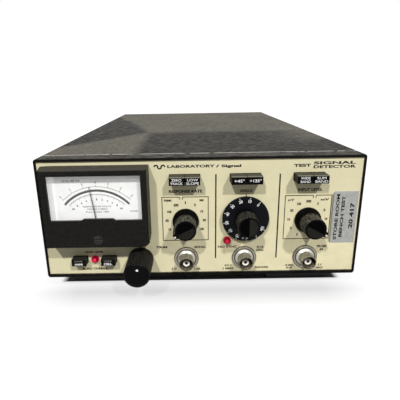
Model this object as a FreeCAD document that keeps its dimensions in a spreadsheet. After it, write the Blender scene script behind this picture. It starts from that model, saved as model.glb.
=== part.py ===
import FreeCAD, Part
import os
import re

import Sketcher

# A laboratory amplifier in a half-rack bench case, all lengths in millimetres.
# X runs to the right, Y runs into the case from the front and Z runs up.
# Places are written from the middle of the bezel's lower front edge. The finished
# pieces stand on Z = 0, with the origin under the middle of the whole object.

SIZES = {
    # Case
    "case_width": 218,
    "case_height": 85.4,
    "case_depth": 377,
    "stand_height": 11.5,
    "bezel_depth": 14.5,
    "bezel_side": 1.5,
    "bezel_top": 1.9,
    "bezel_base": 2.4,
    "bezel_corner": 2,
    "bezel_edge": 0.7,
    "ledge_width": 3,
    "panel_inset": 1,
    "panel_thick": 2,
    "panel_play": 0.15,
    "cover_step": 0.1,
    "cover_lift": 1,
    "cover_corner": 1.6,
    "sheet_thick": 1.2,
    "sheet_play": 0.1,
    "pan_flange": 12,
    "rear_inset": 1,
    "rear_thick": 2,
    # Side rails with a groove for the main board and two screw bosses
    "rail_wall": 1.6,
    "rail_flange": 10,
    "boss_size": 6,
    "boss_height": 14,
    "boss_bore_depth": 12,
    "groove_depth": 4,
    "groove_lip": 1.5,
    "board_height": 4.1,
    "board_thick": 1.6,
    "board_play": 0.1,
    "board_edge": 0.2,
    "board_front": 40,
    "board_back_gap": 13,
    # Air slots in the bottom
    "vent_width": 3,
    "vent_length": 60,
    "vent_middle": 45,
    "vent_start": 130,
    "vent_pitch": 10,
    "vent_count": 10,
    # Screws
    "screw_radius": 1.5,
    "screw_play": 0.1,
    "screw_head_radius": 2.8,
    "screw_head_thick": 1.8,
    "side_head_thick": 0.3,
    "side_screw_height": 8,
    "side_screw_front": 40,
    "side_screw_inset": 37,
    "rear_screw_length": 8,
    # Feet and tilt bail
    "foot_inset": 12,
    "foot_width": 48,
    "foot_front": 16,
    "foot_length": 22,
    "foot_rear_inset": 47,
    "foot_round": 2.5,
    "foot_draft": 3,
    "foot_recess": 4,
    "foot_floor": 4,
    "bail_wire": 2,
    "bail_height": 6.5,
    "bail_gap": 0.4,
    "bail_length": 61,
    "bail_bend": 3,
    "bail_corner": 8,
    "bail_pin": 9,
    "bail_play": 0.3,
    # Meter
    "meter_inset": 6.2,
    "meter_width": 67.3,
    "meter_low": 28.4,
    "meter_top_gap": 3,
    "meter_depth": 14.5,
    "meter_draft": 1.2,
    "meter_chamfer": 4,
    "meter_round": 0.8,
    "meter_wall": 2.4,
    "meter_front_wall": 2,
    "window_left_rim": 4.1,
    "window_right_rim": 3.9,
    "window_base": 18.9,
    "window_top_rim": 3.8,
    "bump_width": 19,
    "bump_shift": 1.2,
    "bump_height": 1.1,
    "bump_slope": 1.5,
    "lens_thick": 1.2,
    "lens_lap": 1.2,
    "scale_gap": 2.6,
    "scale_thick": 0.8,
    "scale_play": 0.2,
    "pivot_inset": 33.9,
    "pivot_rise": 9.2,
    "drum_radius": 20,
    "drum_wall": 2,
    "drum_length": 25,
    "drum_rise": 11.4,
    "drum_play": 0.2,
    "needle_reach": 31.5,
    "needle_tail": 5,
    "needle_root": 0.45,
    "needle_tip": 0.2,
    "needle_thick": 0.4,
    "needle_hub": 1.6,
    "needle_pin": 0.6,
    "needle_pin_play": 0.05,
    "needle_turn": -7.3,
    "needle_hole": 3,
    "needle_pin_depth": 4,
    "zero_rise": 5.5,
    "zero_radius": 3.2,
    "zero_play": 0.1,
    "zero_sink": 0.3,
    "zero_stem": 1.5,
    "zero_slot": 0.9,
    "zero_slot_depth": 0.7,
    "magnet_radius": 15,
    "magnet_length": 12,
    "bridge_gap": 1,
    "bridge_width": 9,
    # Push buttons
    "column_inset": 35.8,
    "middle_spacing": 42.7,
    "left_spacing": 40.5,
    "left_pair_shift": 0.2,
    "middle_pair_shift": 0.45,
    "right_pair_shift": 1,
    "button_drop": 12.4,
    "button_width": 9.95,
    "button_height": 5.2,
    "button_gap": 0.3,
    "button_reach": 10,
    "button_round": 0.5,
    "button_travel": 3.5,
    "button_play": 0.3,
    "button_root": 1.2,
    "stem_size": 3,
    "stem_length": 11,
    "stop_play": 0.4,
    "switch_wall": 1.6,
    "line_inset": 16.95,
    "battery_spacing": 20.2,
    "power_row_up": 13.6,
    "power_cap_width": 9.8,
    "power_cap_height": 5,
    "power_cap_reach": 6.5,
    # Lamps
    "power_led_spacing": 10.1,
    "reference_led_spacing": 12.15,
    "reference_led_up": 26.45,
    "led_radius": 2.5,
    "led_collar": 2.8,
    "led_collar_thick": 0.6,
    "led_dome": 2.8,
    "led_round": 2.1,
    "led_dome_radius": 2.3,
    "led_body": 6,
    # Rotary controls
    "time_knob_up": 41,
    "sense_knob_up": 40.6,
    "phase_knob_up": 42.9,
    "time_turn": -120,
    "sense_turn": 119,
    "phase_turn": -145,
    "bushing_radius": 4.5,
    "bushing_bore": 3.05,
    "bushing_reach": 2,
    "panel_hole_play": 0.15,
    "shaft_radius": 3,
    "shaft_depth": 12,
    "shaft_play": 0.05,
    "nut_width": 11,
    "nut_thick": 1.5,
    "rotor_radius": 12,
    "detent_depth": 9,
    "wafer_radius": 13,
    "wafer_thick": 1.6,
    "wafer_pitch": 6,
    "wafer_bolt": 1.4,
    "wafer_bolt_across": 9.5,
    "rotor_hub": 5,
    "pot_radius": 11,
    "knob_clear": 0.3,
    "skirt_radius": 9,
    "skirt_rim": 1.5,
    "skirt_slope": 2.4,
    "knob_root_radius": 7.3,
    "knob_face_radius": 7,
    "knob_reach": 19.2,
    "knob_edge": 0.4,
    "knob_cap": 4,
    "knob_foot": 1.5,
    "knob_recess_radius": 6.8,
    "knob_recess_play": 0.6,
    "flute_radius": 0.6,
    "flute_centre": 7.3,
    "flute_count": 30,
    "nose_reach": 8.8,
    "nose_root": 2.6,
    "nose_tip": 1.5,
    "nose_start": 4.5,
    "dial_radius": 15.8,
    "dial_thick": 1.7,
    "dial_clear": 0.4,
    "dial_edge": 0.5,
    "phase_reach": 20,
    "offset_inset": 8,
    "offset_up": 13.2,
    "offset_radius": 8.9,
    "offset_face_radius": 8.7,
    "offset_reach": 26.3,
    "rib_radius": 0.45,
    "rib_count": 36,
    "offset_pot_radius": 5.5,
    "offset_pot_depth": 14,
    "offset_bushing": 3.5,
    "offset_shaft": 2,
    "offset_shaft_depth": 8,
    "offset_nut_width": 9,
    "offset_recess_radius": 5.7,
    "crown_width": 3,
    "crown_depth": 1.4,
    "crown_bend_width": 1,
    "crown_bend_depth": 0.5,
    # Coaxial sockets
    "socket_up": 13.3,
    "washer_radius": 8.5,
    "washer_thick": 0.8,
    "rim_width": 1.3,
    "rim_height": 0.4,
    "rim_slope": 0.4,
    "flange_radius": 6.2,
    "flange_thick": 1.7,
    "flange_slope": 1.2,
    "barrel_radius": 4.8,
    "barrel_reach": 11,
    "barrel_bore": 4.05,
    "barrel_depth": 8,
    "barrel_edge": 0.3,
    "thread_radius": 4.6,
    "thread_length": 9,
    "lug_radius": 0.95,
    "lug_reach": 5.5,
    "lug_setback": 2.6,
    "socket_nut_width": 13,
    "socket_nut_thick": 2.2,
    "core_radius": 2.35,
    "core_setback": 2.6,
    "core_tail": 1.5,
    "core_play": 0.05,
    "contact_radius": 1.1,
    "contact_bore": 0.7,
    "contact_bore_depth": 5,
    "contact_tail": 4,
    # Boards and power parts
    "control_front": 34,
    "control_lap": 18,
    "control_gap": 0.4,
    "control_low": 24,
    "control_drop": 5.3,
    "chip_length": 19.3,
    "chip_width": 6.4,
    "chip_height": 4.2,
    "chip_pitch": 32,
    "chip_row_pitch": 24,
    "chip_start": -85,
    "chip_row_start": 56,
    "chip_columns": 6,
    "chip_rows": 4,
    "can_radius": 6,
    "can_height": 22,
    "can_pitch": 18,
    "can_start": -63,
    "can_count": 8,
    "can_inset": 50,
    "relay_width": 20,
    "relay_depth": 14,
    "relay_height": 11,
    "relay_inset": 28,
    "relay_pitch": 30,
    "relay_start": -75,
    "relay_count": 5,
    "core_gap": 0.5,
    "core_back_gap": 80,
    "core_width": 57,
    "core_depth": 32,
    "core_height": 48,
    "core_foot": 8,
    "core_foot_thick": 1.6,
    "coil_bulge": 9,
    "coil_margin": 8,
    "coil_round": 3,
    "tray_gap": 3.9,
    "tray_back_gap": 14,
    "tray_width": 84,
    "tray_length": 98,
    "tray_wall": 1.5,
    "tray_lip": 18,
    "cell_height": 58,
    "cell_play": 0.3,
    "post_width": 4.8,
    "post_thick": 0.8,
    "post_height": 6,
    "post_across": 14,
    # Rear
    "inlet_inset": 13,
    "inlet_up": 22,
    "inlet_flange_width": 48,
    "inlet_flange_height": 26,
    "inlet_flange_thick": 3,
    "inlet_body_width": 28,
    "inlet_body_height": 20,
    "inlet_body_depth": 19,
    "inlet_wall": 1.7,
    "inlet_socket_depth": 16,
    "inlet_play": 0.2,
    "inlet_corner": 3.5,
    "blade_width": 2,
    "blade_height": 4,
    "blade_length": 13,
    "blade_across": 7,
    "blade_drop": 2.5,
    "blade_lift": 3,
    "inlet_screw_edge": 4,
    "inlet_screw_length": 10,
    "fuse_spacing": 38,
    "fuse_up": 22,
    "fuse_radius": 6.2,
    "fuse_flange": 8,
    "fuse_flange_thick": 2,
    "fuse_length": 26,
    "fuse_bore": 3.4,
    "fuse_wall": 2,
    "fuse_cap_radius": 6,
    "fuse_cap_reach": 9,
    "fuse_cap_gap": 0.3,
    "fuse_cap_edge": 0.8,
    "fuse_slot": 1.2,
    "fuse_slot_depth": 1,
    "fuse_stem": 3.1,
    "fuse_stem_length": 20,
}

# Places that follow from the sizes
PLACES = {
    "origin_shift": "(offset_reach - panel_inset - rear_face - fuse_flange_thick - fuse_cap_reach) / 2",
    "half_width": "case_width / 2",
    "panel_front": "panel_inset",
    "panel_back": "panel_inset + panel_thick",
    "frame_half": "half_width - bezel_side",
    "frame_high": "case_height - bezel_top",
    "cover_half": "half_width - cover_step",
    "cover_high": "case_height - cover_step",
    "roof": "cover_high - sheet_thick",
    "wall_half": "cover_half - sheet_thick",
    "pan_half": "wall_half - sheet_play",
    "pan_top": "cover_lift + sheet_thick",
    "rail_out": "pan_half - sheet_thick",
    "rail_in": "rail_out - rail_wall",
    "rail_tip": "rail_in - rail_flange",
    "boss_tip": "rail_in - boss_size",
    "boss_middle": "rail_in - boss_size / 2",
    "lower_boss": "pan_top + boss_height",
    "upper_boss": "roof - rail_wall - boss_size",
    "board_low": "pan_top + board_height",
    "board_top": "board_low + board_thick",
    "groove_top": "board_top + board_play",
    "rear_front": "case_depth - rear_inset - rear_thick",
    "rear_face": "case_depth - rear_inset",
    "side_screw_up": "cover_lift + side_screw_height",
    "side_screw_rear": "case_depth - side_screw_inset",
    "foot_outer": "half_width - foot_inset",
    "foot_inner": "foot_outer - foot_width",
    "foot_rear": "case_depth - foot_rear_inset",
    "foot_middle": "(foot_inner + foot_outer) / 2",
    "bail_up": "bail_height - stand_height",
    "bail_half": "foot_inner - bail_wire - bail_gap",
    "bail_hinge": "foot_front + foot_length / 2",
    "meter_left": "meter_inset - frame_half",
    "meter_right": "meter_left + meter_width",
    "meter_high": "frame_high - meter_top_gap",
    "window_left": "meter_left + window_left_rim",
    "window_right": "meter_right - window_right_rim",
    "window_low": "meter_low + window_base",
    "window_high": "meter_high - window_top_rim",
    "pivot_across": "meter_left + pivot_inset",
    "pivot_up": "meter_low + pivot_rise",
    "zero_up": "meter_low + zero_rise",
    "drum_up": "pivot_up + drum_rise",
    "bump_left": "pivot_across + bump_shift - bump_width / 2",
    "bump_right": "bump_left + bump_width",
    "meter_front": "panel_front - meter_depth",
    "lens_front": "meter_front + meter_front_wall",
    "lens_back": "lens_front + lens_thick",
    "scale_front": "lens_back + scale_gap",
    "scale_back": "scale_front + scale_thick",
    "cavity_left": "meter_left + meter_wall",
    "cavity_right": "meter_right - meter_wall",
    "cavity_low": "meter_low + meter_wall",
    "cavity_high": "meter_high - meter_wall",
    "drum_end": "panel_back + drum_length",
    "needle_front": "(lens_back + scale_front) / 2 - needle_thick / 2",
    "column_right": "half_width - column_inset",
    "column_middle": "column_right - middle_spacing",
    "column_left": "column_middle - left_spacing",
    "pair_left": "column_left - left_pair_shift",
    "pair_middle": "column_middle - middle_pair_shift",
    "pair_right": "column_right - right_pair_shift",
    "line_across": "meter_left + line_inset",
    "battery_across": "line_across + battery_spacing",
    "power_led_across": "line_across + power_led_spacing",
    "reference_led_across": "column_middle - reference_led_spacing",
    "offset_across": "meter_right - offset_inset",
    "button_up": "frame_high - button_drop",
    "button_root_back": "panel_back + button_root",
    "switch_floor": "button_root_back + button_travel + stop_play",
    "stem_end": "button_root_back + stem_length",
    "knob_back": "panel_front - knob_clear",
    "nut_front": "panel_front - nut_thick",
    "dial_back": "panel_front - bushing_reach - dial_clear",
    "dial_front": "dial_back - dial_thick",
    "knob_front": "panel_front - knob_reach",
    "phase_front": "panel_front - phase_reach",
    "offset_front": "panel_front - offset_reach",
    "recess_floor": "panel_front - bushing_reach - knob_recess_play",
    "washer_front": "panel_front - washer_thick",
    "rim_front": "washer_front - rim_height",
    "flange_front": "washer_front - flange_thick",
    "barrel_front": "panel_front - barrel_reach",
    "barrel_floor": "barrel_front + barrel_depth",
    "thread_end": "panel_back + thread_length",
    "core_front_face": "barrel_front + core_setback",
    "control_left": "column_left - control_lap",
    "control_right": "boss_tip - control_gap",
    "control_high": "roof - control_drop",
    "core_left": "core_gap + core_foot - rail_tip",
    "core_front": "rear_front - core_back_gap - core_depth",
    "board_end": "core_front - coil_bulge - board_back_gap",
    "can_row": "board_end - can_inset",
    "relay_row": "board_end - relay_inset",
    "tray_left": "rail_tip - tray_gap - tray_width",
    "tray_front": "rear_front - tray_back_gap - tray_length",
    "tray_top": "pan_top + tray_wall",
    "inlet_across": "inlet_inset + inlet_flange_width / 2 - half_width",
    "fuse_across": "inlet_across + fuse_spacing",
    "fuse_face": "rear_face + fuse_flange_thick",
    "inlet_face": "rear_face + inlet_flange_thick",
    "inlet_screw_across": "inlet_flange_width / 2 - inlet_screw_edge",
}

doc = FreeCAD.newDocument("Amplifier")
sheet = doc.addObject("Spreadsheet::Sheet", "Dims")
for row, (name, value) in enumerate(SIZES.items(), 1):
    sheet.set(f"A{row}", name)
    sheet.set(f"B{row}", str(value))
    sheet.setAlias(f"B{row}", name)
doc.recompute()

finished = []


# Expressions
def bind(text):
    """The expression with every named size and place written out for the sheet."""
    def swap(found):
        word = found.group(0)
        if word in PLACES:
            return f"({bind(PLACES[word])})"
        return f"Dims.{word}" if word in SIZES else word
    return re.sub(r"[a-z][a-z_0-9]*", swap, str(text))


def number(text):
    return float(sheet.evalExpression(bind(text)))


def drive(item, **values):
    """Bind properties of an item to expressions, with __ standing for a dot."""
    for name, text in values.items():
        item.setExpression(name.replace("__", "."), bind(text))


def seat(item, label, x="0", y="0", z="0", turn=None):
    """Give a finished piece its name and its place in the whole object."""
    item.Label = label
    if turn is not None:
        item.Placement.Rotation = FreeCAD.Rotation(FreeCAD.Vector(0, 1, 0), 0)
        drive(item, Placement__Rotation__Angle=turn)
    drive(item, Placement__Base__x=x, Placement__Base__y=f"{y} + origin_shift",
          Placement__Base__z=f"{z} + stand_height")
    finished.append(item)
    return item


# Sketch outlines
def outline(sketch, points):
    """A closed outline of straight lines through points given as pairs of expressions."""
    spots = [FreeCAD.Vector(number(across), number(up), 0) for across, up in points]
    first = sketch.GeometryCount
    for start, end in zip(spots, spots[1:] + spots[:1]):
        sketch.addGeometry(Part.LineSegment(start, end), False)
    for place, (across, up) in enumerate(points):
        line = first + place
        before = first + (place - 1) % len(points)
        sketch.addConstraint(Sketcher.Constraint("Coincident", before, 2, line, 1))
        fix_point(sketch, line, 1, across, up)
    return sketch


def fix_point(sketch, line, end, across, up):
    for kind, text in (("DistanceX", across), ("DistanceY", up)):
        bond = sketch.addConstraint(Sketcher.Constraint(kind, -1, 1, line, end, number(text)))
        sketch.setExpression(f"Constraints[{bond}]", bind(text))


def rectangle(sketch, left, low, right, high):
    return outline(sketch, [(left, low), (right, low), (right, high), (left, high)])


def circle(sketch, across, up, radius):
    spot = FreeCAD.Vector(number(across), number(up), 0)
    line = sketch.addGeometry(Part.Circle(spot, FreeCAD.Vector(0, 0, 1), number(radius)), False)
    bond = sketch.addConstraint(Sketcher.Constraint("Radius", line, number(radius)))
    sketch.setExpression(f"Constraints[{bond}]", bind(radius))
    fix_point(sketch, line, 3, across, up)
    return sketch


def mirrored(points):
    """The same outline on the other side of the middle plane."""
    return [(f"-({across})", up) for across, up in points]


def edge_names(shape, along=None, **at):
    """Names of the edges that run along an axis and lie wholly at the given places."""
    names = []
    for count, edge in enumerate(shape.Edges, 1):
        box = edge.BoundBox
        ends = {"x": (box.XMin, box.XMax), "y": (box.YMin, box.YMax), "z": (box.ZMin, box.ZMax)}
        if along and ends[along][1] - ends[along][0] < 0.99 * edge.Length:
            continue
        if all(any(abs(low - place) < 0.02 and abs(high - place) < 0.02 for place in places)
               for (low, high), places in ((ends[axis], spots) for axis, spots in at.items())):
            names.append(f"Edge{count}")
    return names


class Piece:
    """A body whose sketches lie on its own origin planes."""

    def __init__(self, label, **place):
        self.body = doc.addObject("PartDesign::Body", label)
        seat(self.body, label, **place)

    def origin(self, role):
        return next(item for item in self.body.Origin.OriginFeatures if item.Role == role)

    def sketch(self, role, level):
        sketch = self.body.newObject("Sketcher::SketchObject", "Outline")
        sketch.AttachmentSupport = [(self.origin(role), "")]
        sketch.MapMode = "FlatFace"
        drive(sketch, AttachmentOffset__Base__z=level)
        return sketch

    def front(self, y="0"):
        return self.sketch("XZ_Plane", f"-({y})")

    def top(self, z="0"):
        return self.sketch("XY_Plane", z)

    def side(self, x="0"):
        return self.sketch("YZ_Plane", x)

    def feature(self, kind, profile, length=None, flip=False, **settings):
        item = self.body.newObject(f"PartDesign::{kind}", kind)
        item.Profile = profile
        item.Reversed = flip
        if length is not None:
            drive(item, Length=length)
        for name, value in settings.items():
            setattr(item, name, value)
        return item

    def pad(self, profile, length, flip=False, **settings):
        return self.feature("Pad", profile, length, flip, **settings)

    def pocket(self, profile, length, flip=False, **settings):
        return self.feature("Pocket", profile, length, flip, **settings)

    def through(self, profile):
        return self.feature("Pocket", profile, Type="ThroughAll", SideType="Symmetric")

    def turned(self, points):
        """A solid of revolution about the body's Y axis, from points (radius, depth)."""
        profile = outline(self.top(), points)
        return self.feature("Revolution", profile, ReferenceAxis=(profile, ["V_Axis"]), Angle=360)

    def around(self, feature, count):
        pattern = self.body.newObject("PartDesign::PolarPattern", "Ring")
        pattern.Originals = [feature]
        pattern.Axis = (self.origin("Y_Axis"), [""])
        pattern.Angle = 360
        drive(pattern, Occurrences=count)
        self.body.Tip = pattern
        return pattern

    def dress(self, kind, size, names):
        base = self.body.Tip
        item = self.body.newObject(f"PartDesign::{kind}", kind)
        item.Base = (base, names)
        drive(item, **{"Radius" if kind == "Fillet" else "Size": size})
        return item

    def settle(self):
        doc.recompute()
        return self.body.Tip.Shape


# Plain solids for the inner pieces
def block(x, y, z, wide, deep, tall):
    item = doc.addObject("Part::Box", "Block")
    drive(item, Length=wide, Width=deep, Height=tall, Placement__Base__x=x,
          Placement__Base__y=y, Placement__Base__z=z)
    return item


def rod(x, y, z, radius, length, along="y"):
    item = doc.addObject("Part::Cylinder", "Rod")
    axis, angle = {"x": ((0, 1, 0), 90), "y": ((1, 0, 0), -90), "z": ((0, 0, 1), 0)}[along]
    item.Placement.Rotation = FreeCAD.Rotation(FreeCAD.Vector(*axis), angle)
    drive(item, Radius=radius, Height=length, Placement__Base__x=x,
          Placement__Base__y=y, Placement__Base__z=z)
    return item


def cone(x, y, z, front_radius, back_radius, length):
    """A cone with its axis along Y."""
    item = doc.addObject("Part::Cone", "Cone")
    item.Placement.Rotation = FreeCAD.Rotation(FreeCAD.Vector(1, 0, 0), -90)
    drive(item, Radius1=front_radius, Radius2=back_radius, Height=length, Placement__Base__x=x,
          Placement__Base__y=y, Placement__Base__z=z)
    return item


def nut(x, y, z, width, thick, bore):
    """A hexagon nut with its axis along Y."""
    item = doc.addObject("Part::Prism", "Hexagon")
    item.Polygon = 6
    item.Placement.Rotation = FreeCAD.Rotation(FreeCAD.Vector(1, 0, 0), -90)
    drive(item, Circumradius=f"{width} / 2 / cos(30)", Height=thick, Placement__Base__x=x,
          Placement__Base__y=y, Placement__Base__z=z)
    return cut(item, rod(x, f"{y} - {thick}", z, bore, f"{thick} * 3"))


def joined(*items):
    item = doc.addObject("Part::MultiFuse", "Joined")
    item.Shapes = list(items)
    return item


def cut(base, tool):
    item = doc.addObject("Part::Cut", "Cut")
    item.Base = base
    item.Tool = tool
    return item


def group(items):
    item = doc.addObject("Part::Compound", "Group")
    item.Links = list(items)
    return item


SIDES = (("left", "-1"), ("right", "1"))
COLUMNS = ("column_left", "column_middle", "column_right")
ROTARY = (("column_left", "time_knob_up"), ("column_middle", "phase_knob_up"),
          ("column_right", "sense_knob_up"))
BUTTON_PAIRS = ("pair_left", "pair_middle", "pair_right")
POWER_BUTTONS = ("line_across", "battery_across")
SIDE_SCREWS = ("side_screw_front", "side_screw_rear")
PAIR_PLACES = ("- (button_width + button_gap) / 2", "+ (button_width + button_gap) / 2")


# Case
def front_bezel():
    """The cast frame: a panel recess, a ledge behind it and soft outer edges."""
    piece = Piece("front_bezel")
    piece.pad(rectangle(piece.front(), "-half_width", "0", "half_width", "case_height"),
              "bezel_depth", flip=True)
    piece.pocket(rectangle(piece.front(), "-frame_half", "bezel_base", "frame_half", "frame_high"),
                 "panel_back")
    piece.through(rectangle(piece.front(), "ledge_width - frame_half", "bezel_base + ledge_width",
                            "frame_half - ledge_width", "frame_high - ledge_width"))
    shape = piece.settle()
    half = number("half_width")
    corners = edge_names(shape, "y", x=(-half, half), z=(0, number("case_height")))
    piece.dress("Fillet", "bezel_corner", corners)
    shape = piece.settle()
    rim = [name for name in edge_names(shape, y=(0,))
           if shape.getElement(name).BoundBox.XMax > number("frame_half") + 0.1
           or shape.getElement(name).BoundBox.XMin < -number("frame_half") - 0.1]
    piece.dress("Fillet", "bezel_edge", rim)


def front_panel():
    """The flat plate in the bezel, with the holes of everything that it carries."""
    piece = Piece("front_panel")
    piece.pad(rectangle(piece.front("panel_front"), "panel_play - frame_half", "bezel_base + panel_play",
                        "frame_half - panel_play", "frame_high - panel_play"), "panel_thick", flip=True)
    holes = piece.front("panel_front")
    circle(holes, "pivot_across", "drum_up", "drum_radius + drum_play")
    for pair in BUTTON_PAIRS:
        half = "(button_width + button_gap / 2 + button_play)"
        rectangle(holes, f"{pair} - {half}", "button_up - button_height / 2 - button_play",
                  f"{pair} + {half}", "button_up + button_height / 2 + button_play")
    for column in COLUMNS:
        circle(holes, column, "socket_up", "thread_radius + panel_hole_play")
    for across in POWER_BUTTONS:
        half = "(power_cap_width / 2 + button_play)"
        rectangle(holes, f"{across} - {half}", "power_row_up - power_cap_height / 2 - button_play",
                  f"{across} + {half}", "power_row_up + power_cap_height / 2 + button_play")
    for across, up in ROTARY:
        circle(holes, across, up, "bushing_radius + panel_hole_play")
    circle(holes, "offset_across", "offset_up", "offset_bushing + panel_hole_play")
    circle(holes, "power_led_across", "power_row_up", "led_radius + panel_hole_play")
    circle(holes, "reference_led_across", "reference_led_up", "led_radius + panel_hole_play")
    piece.pocket(holes, "panel_thick")


def top_cover():
    """One folded sheet over the top and both sides, let in behind the bezel."""
    piece = Piece("top_cover")
    piece.pad(outline(piece.front("bezel_depth"), [
        ("-cover_half", "cover_lift"), ("-wall_half", "cover_lift"), ("-wall_half", "roof"),
        ("wall_half", "roof"), ("wall_half", "cover_lift"), ("cover_half", "cover_lift"),
        ("cover_half", "cover_high"), ("-cover_half", "cover_high")]),
        "case_depth - bezel_depth", flip=True)
    side_holes(piece)
    shape = piece.settle()
    half = number("cover_half")
    piece.dress("Fillet", "cover_corner",
                edge_names(shape, "y", x=(-half, half), z=(number("cover_high"),)))
    shape = piece.settle()
    half = number("wall_half")
    piece.dress("Fillet", "cover_corner - sheet_thick",
                edge_names(shape, "y", x=(-half, half), z=(number("roof"),)))


def side_holes(piece):
    holes = piece.side()
    for depth in SIDE_SCREWS:
        circle(holes, depth, "side_screw_up", "screw_radius + screw_play")
    piece.through(holes)


def bottom_cover():
    """A pan with upturned flanges and two rows of air slots."""
    piece = Piece("bottom_cover")
    piece.pad(outline(piece.front("bezel_depth"), [
        ("-pan_half", "cover_lift"), ("pan_half", "cover_lift"), ("pan_half", "pan_top + pan_flange"),
        ("rail_out", "pan_top + pan_flange"), ("rail_out", "pan_top"), ("-rail_out", "pan_top"),
        ("-rail_out", "pan_top + pan_flange"), ("-pan_half", "pan_top + pan_flange")]),
        "rear_front - bezel_depth", flip=True)
    side_holes(piece)
    feet = piece.top("pan_top")
    for side in ("-foot_middle", "foot_middle"):
        for depth in ("foot_front", "foot_rear"):
            circle(feet, side, f"{depth} + foot_length / 2", "screw_radius + screw_play")
    piece.pocket(feet, "sheet_thick")
    slots = piece.top("pan_top")
    for side in ("-vent_middle", "vent_middle"):
        rectangle(slots, f"{side} - vent_length / 2", "vent_start",
                  f"{side} + vent_length / 2", "vent_start + vent_width")
    slot = piece.pocket(slots, "sheet_thick")
    row = piece.body.newObject("PartDesign::LinearPattern", "Row")
    row.Originals = [slot]
    row.Direction = (piece.origin("Y_Axis"), [""])
    drive(row, Length="vent_pitch * (vent_count - 1)", Occurrences="vent_count")
    piece.body.Tip = row


def rear_panel():
    piece = Piece("rear_panel")
    piece.pad(rectangle(piece.front("rear_front"), "-pan_half", "cover_lift", "pan_half",
                        "roof - sheet_play"), "rear_thick", flip=True)
    shape = piece.settle()
    half = number("pan_half")
    piece.dress("Fillet", "cover_corner - sheet_thick",
                edge_names(shape, "y", x=(-half, half), z=(number("roof - sheet_play"),)))
    holes = piece.front("rear_front")
    half = "(inlet_body_width / 2 + inlet_play)"
    rise = "(inlet_body_height / 2 + inlet_play)"
    rectangle(holes, f"inlet_across - {half}", f"inlet_up - {rise}",
              f"inlet_across + {half}", f"inlet_up + {rise}")
    circle(holes, "fuse_across", "fuse_up", "fuse_radius + panel_hole_play")
    for across, up in rear_screw_places() + inlet_screw_places():
        circle(holes, across, up, "screw_radius + screw_play")
    piece.pocket(holes, "rear_thick")


def rear_screw_places():
    return [(f"{side} * boss_middle", f"{boss} + boss_size / 2")
            for _, side in SIDES for boss in ("lower_boss", "upper_boss")]


def inlet_screw_places():
    return [(f"inlet_across + {side} * inlet_screw_across", "inlet_up") for _, side in SIDES]


def side_rail(name, side):
    """An extruded rail: web, two flanges, two screw bosses and a groove for the board."""
    piece = Piece(f"side_rail_{name}")
    points = [
        ("rail_out", "pan_top"), ("rail_out", "roof"), ("rail_tip", "roof"),
        ("rail_tip", "roof - rail_wall"), ("boss_tip", "roof - rail_wall"), ("boss_tip", "upper_boss"),
        ("rail_in", "upper_boss"), ("rail_in", "lower_boss + boss_size"),
        ("boss_tip", "lower_boss + boss_size"), ("boss_tip", "lower_boss"), ("rail_in", "lower_boss"),
        ("rail_in", "groove_top + groove_lip"), ("rail_in - groove_depth", "groove_top + groove_lip"),
        ("rail_in - groove_depth", "groove_top"), ("rail_in", "groove_top"), ("rail_in", "board_low"),
        ("rail_in - groove_depth", "board_low"), ("rail_in - groove_depth", "board_low - groove_lip"),
        ("rail_in", "board_low - groove_lip"), ("rail_in", "pan_top + rail_wall"),
        ("rail_tip", "pan_top + rail_wall"), ("rail_tip", "pan_top")]
    if side == "-1":
        points = mirrored(points)
    piece.pad(outline(piece.front("bezel_depth"), points), "rear_front - bezel_depth", flip=True)
    bores = piece.front("rear_front - boss_bore_depth")
    for boss in ("lower_boss", "upper_boss"):
        circle(bores, f"{side} * boss_middle", f"{boss} + boss_size / 2",
               "screw_radius + screw_play")
    piece.pocket(bores, "boss_bore_depth")
    holes = piece.side(f"{side} * rail_out")
    for depth in SIDE_SCREWS:
        circle(holes, depth, "side_screw_up", "screw_radius + screw_play")
    piece.pocket(holes, "rail_wall", flip=(side == "-1"))


# Feet and tilt bail
def foot(name, side, depth, has_socket):
    """A drafted rubber foot with a screw recess, and in front a socket for the bail."""
    piece = Piece(f"foot_{name}")
    low, high = ("foot_inner", "foot_outer") if side == "1" else ("-foot_outer", "-foot_inner")
    end = f"{depth} + foot_length"
    base = piece.pad(rectangle(piece.top("cover_lift"), low, depth, high, end),
                     "cover_lift + stand_height", flip=True)
    drive(base, TaperAngle="-foot_draft")
    shape = piece.settle()
    slanted = [f"Edge{count}" for count, edge in enumerate(shape.Edges, 1)
               if edge.BoundBox.ZLength > number("stand_height")]
    piece.dress("Fillet", "foot_round", slanted)
    middle = (f"{side} * foot_middle", f"{depth} + foot_length / 2")
    piece.pocket(circle(piece.top("-stand_height"), *middle, "foot_recess"),
                 "cover_lift + stand_height - foot_floor", flip=True)
    piece.pocket(circle(piece.top("cover_lift"), *middle, "screw_radius + screw_play"), "foot_floor")
    if has_socket:
        socket = circle(piece.side(f"{side} * foot_inner"), "bail_hinge", "bail_up",
                        "bail_wire + bail_play")
        piece.pocket(socket, "bail_pin", flip=(side == "1"))


def tilt_bail():
    """One bent wire: two pins in the feet, two legs and a cross bar."""
    piece = Piece("tilt_bail")
    path = piece.top("bail_up")
    tip = "foot_inner + bail_pin - bail_play * 2"
    corners = [(tip, "bail_hinge"), ("bail_half", "bail_hinge"),
               ("bail_half", "bail_hinge + bail_length"), ("-bail_half", "bail_hinge + bail_length"),
               ("-bail_half", "bail_hinge"), (f"-({tip})", "bail_hinge")]
    bends = ["bail_bend", "bail_corner", "bail_corner", "bail_bend"]
    bent_path(path, corners, bends)
    ring = circle(piece.side(tip), "bail_hinge", "bail_up", "bail_wire")
    wire = piece.body.newObject("PartDesign::AdditivePipe", "Wire")
    wire.Profile = ring
    wire.Spine = (path, [f"Edge{count + 1}" for count in range(path.GeometryCount)])


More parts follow.
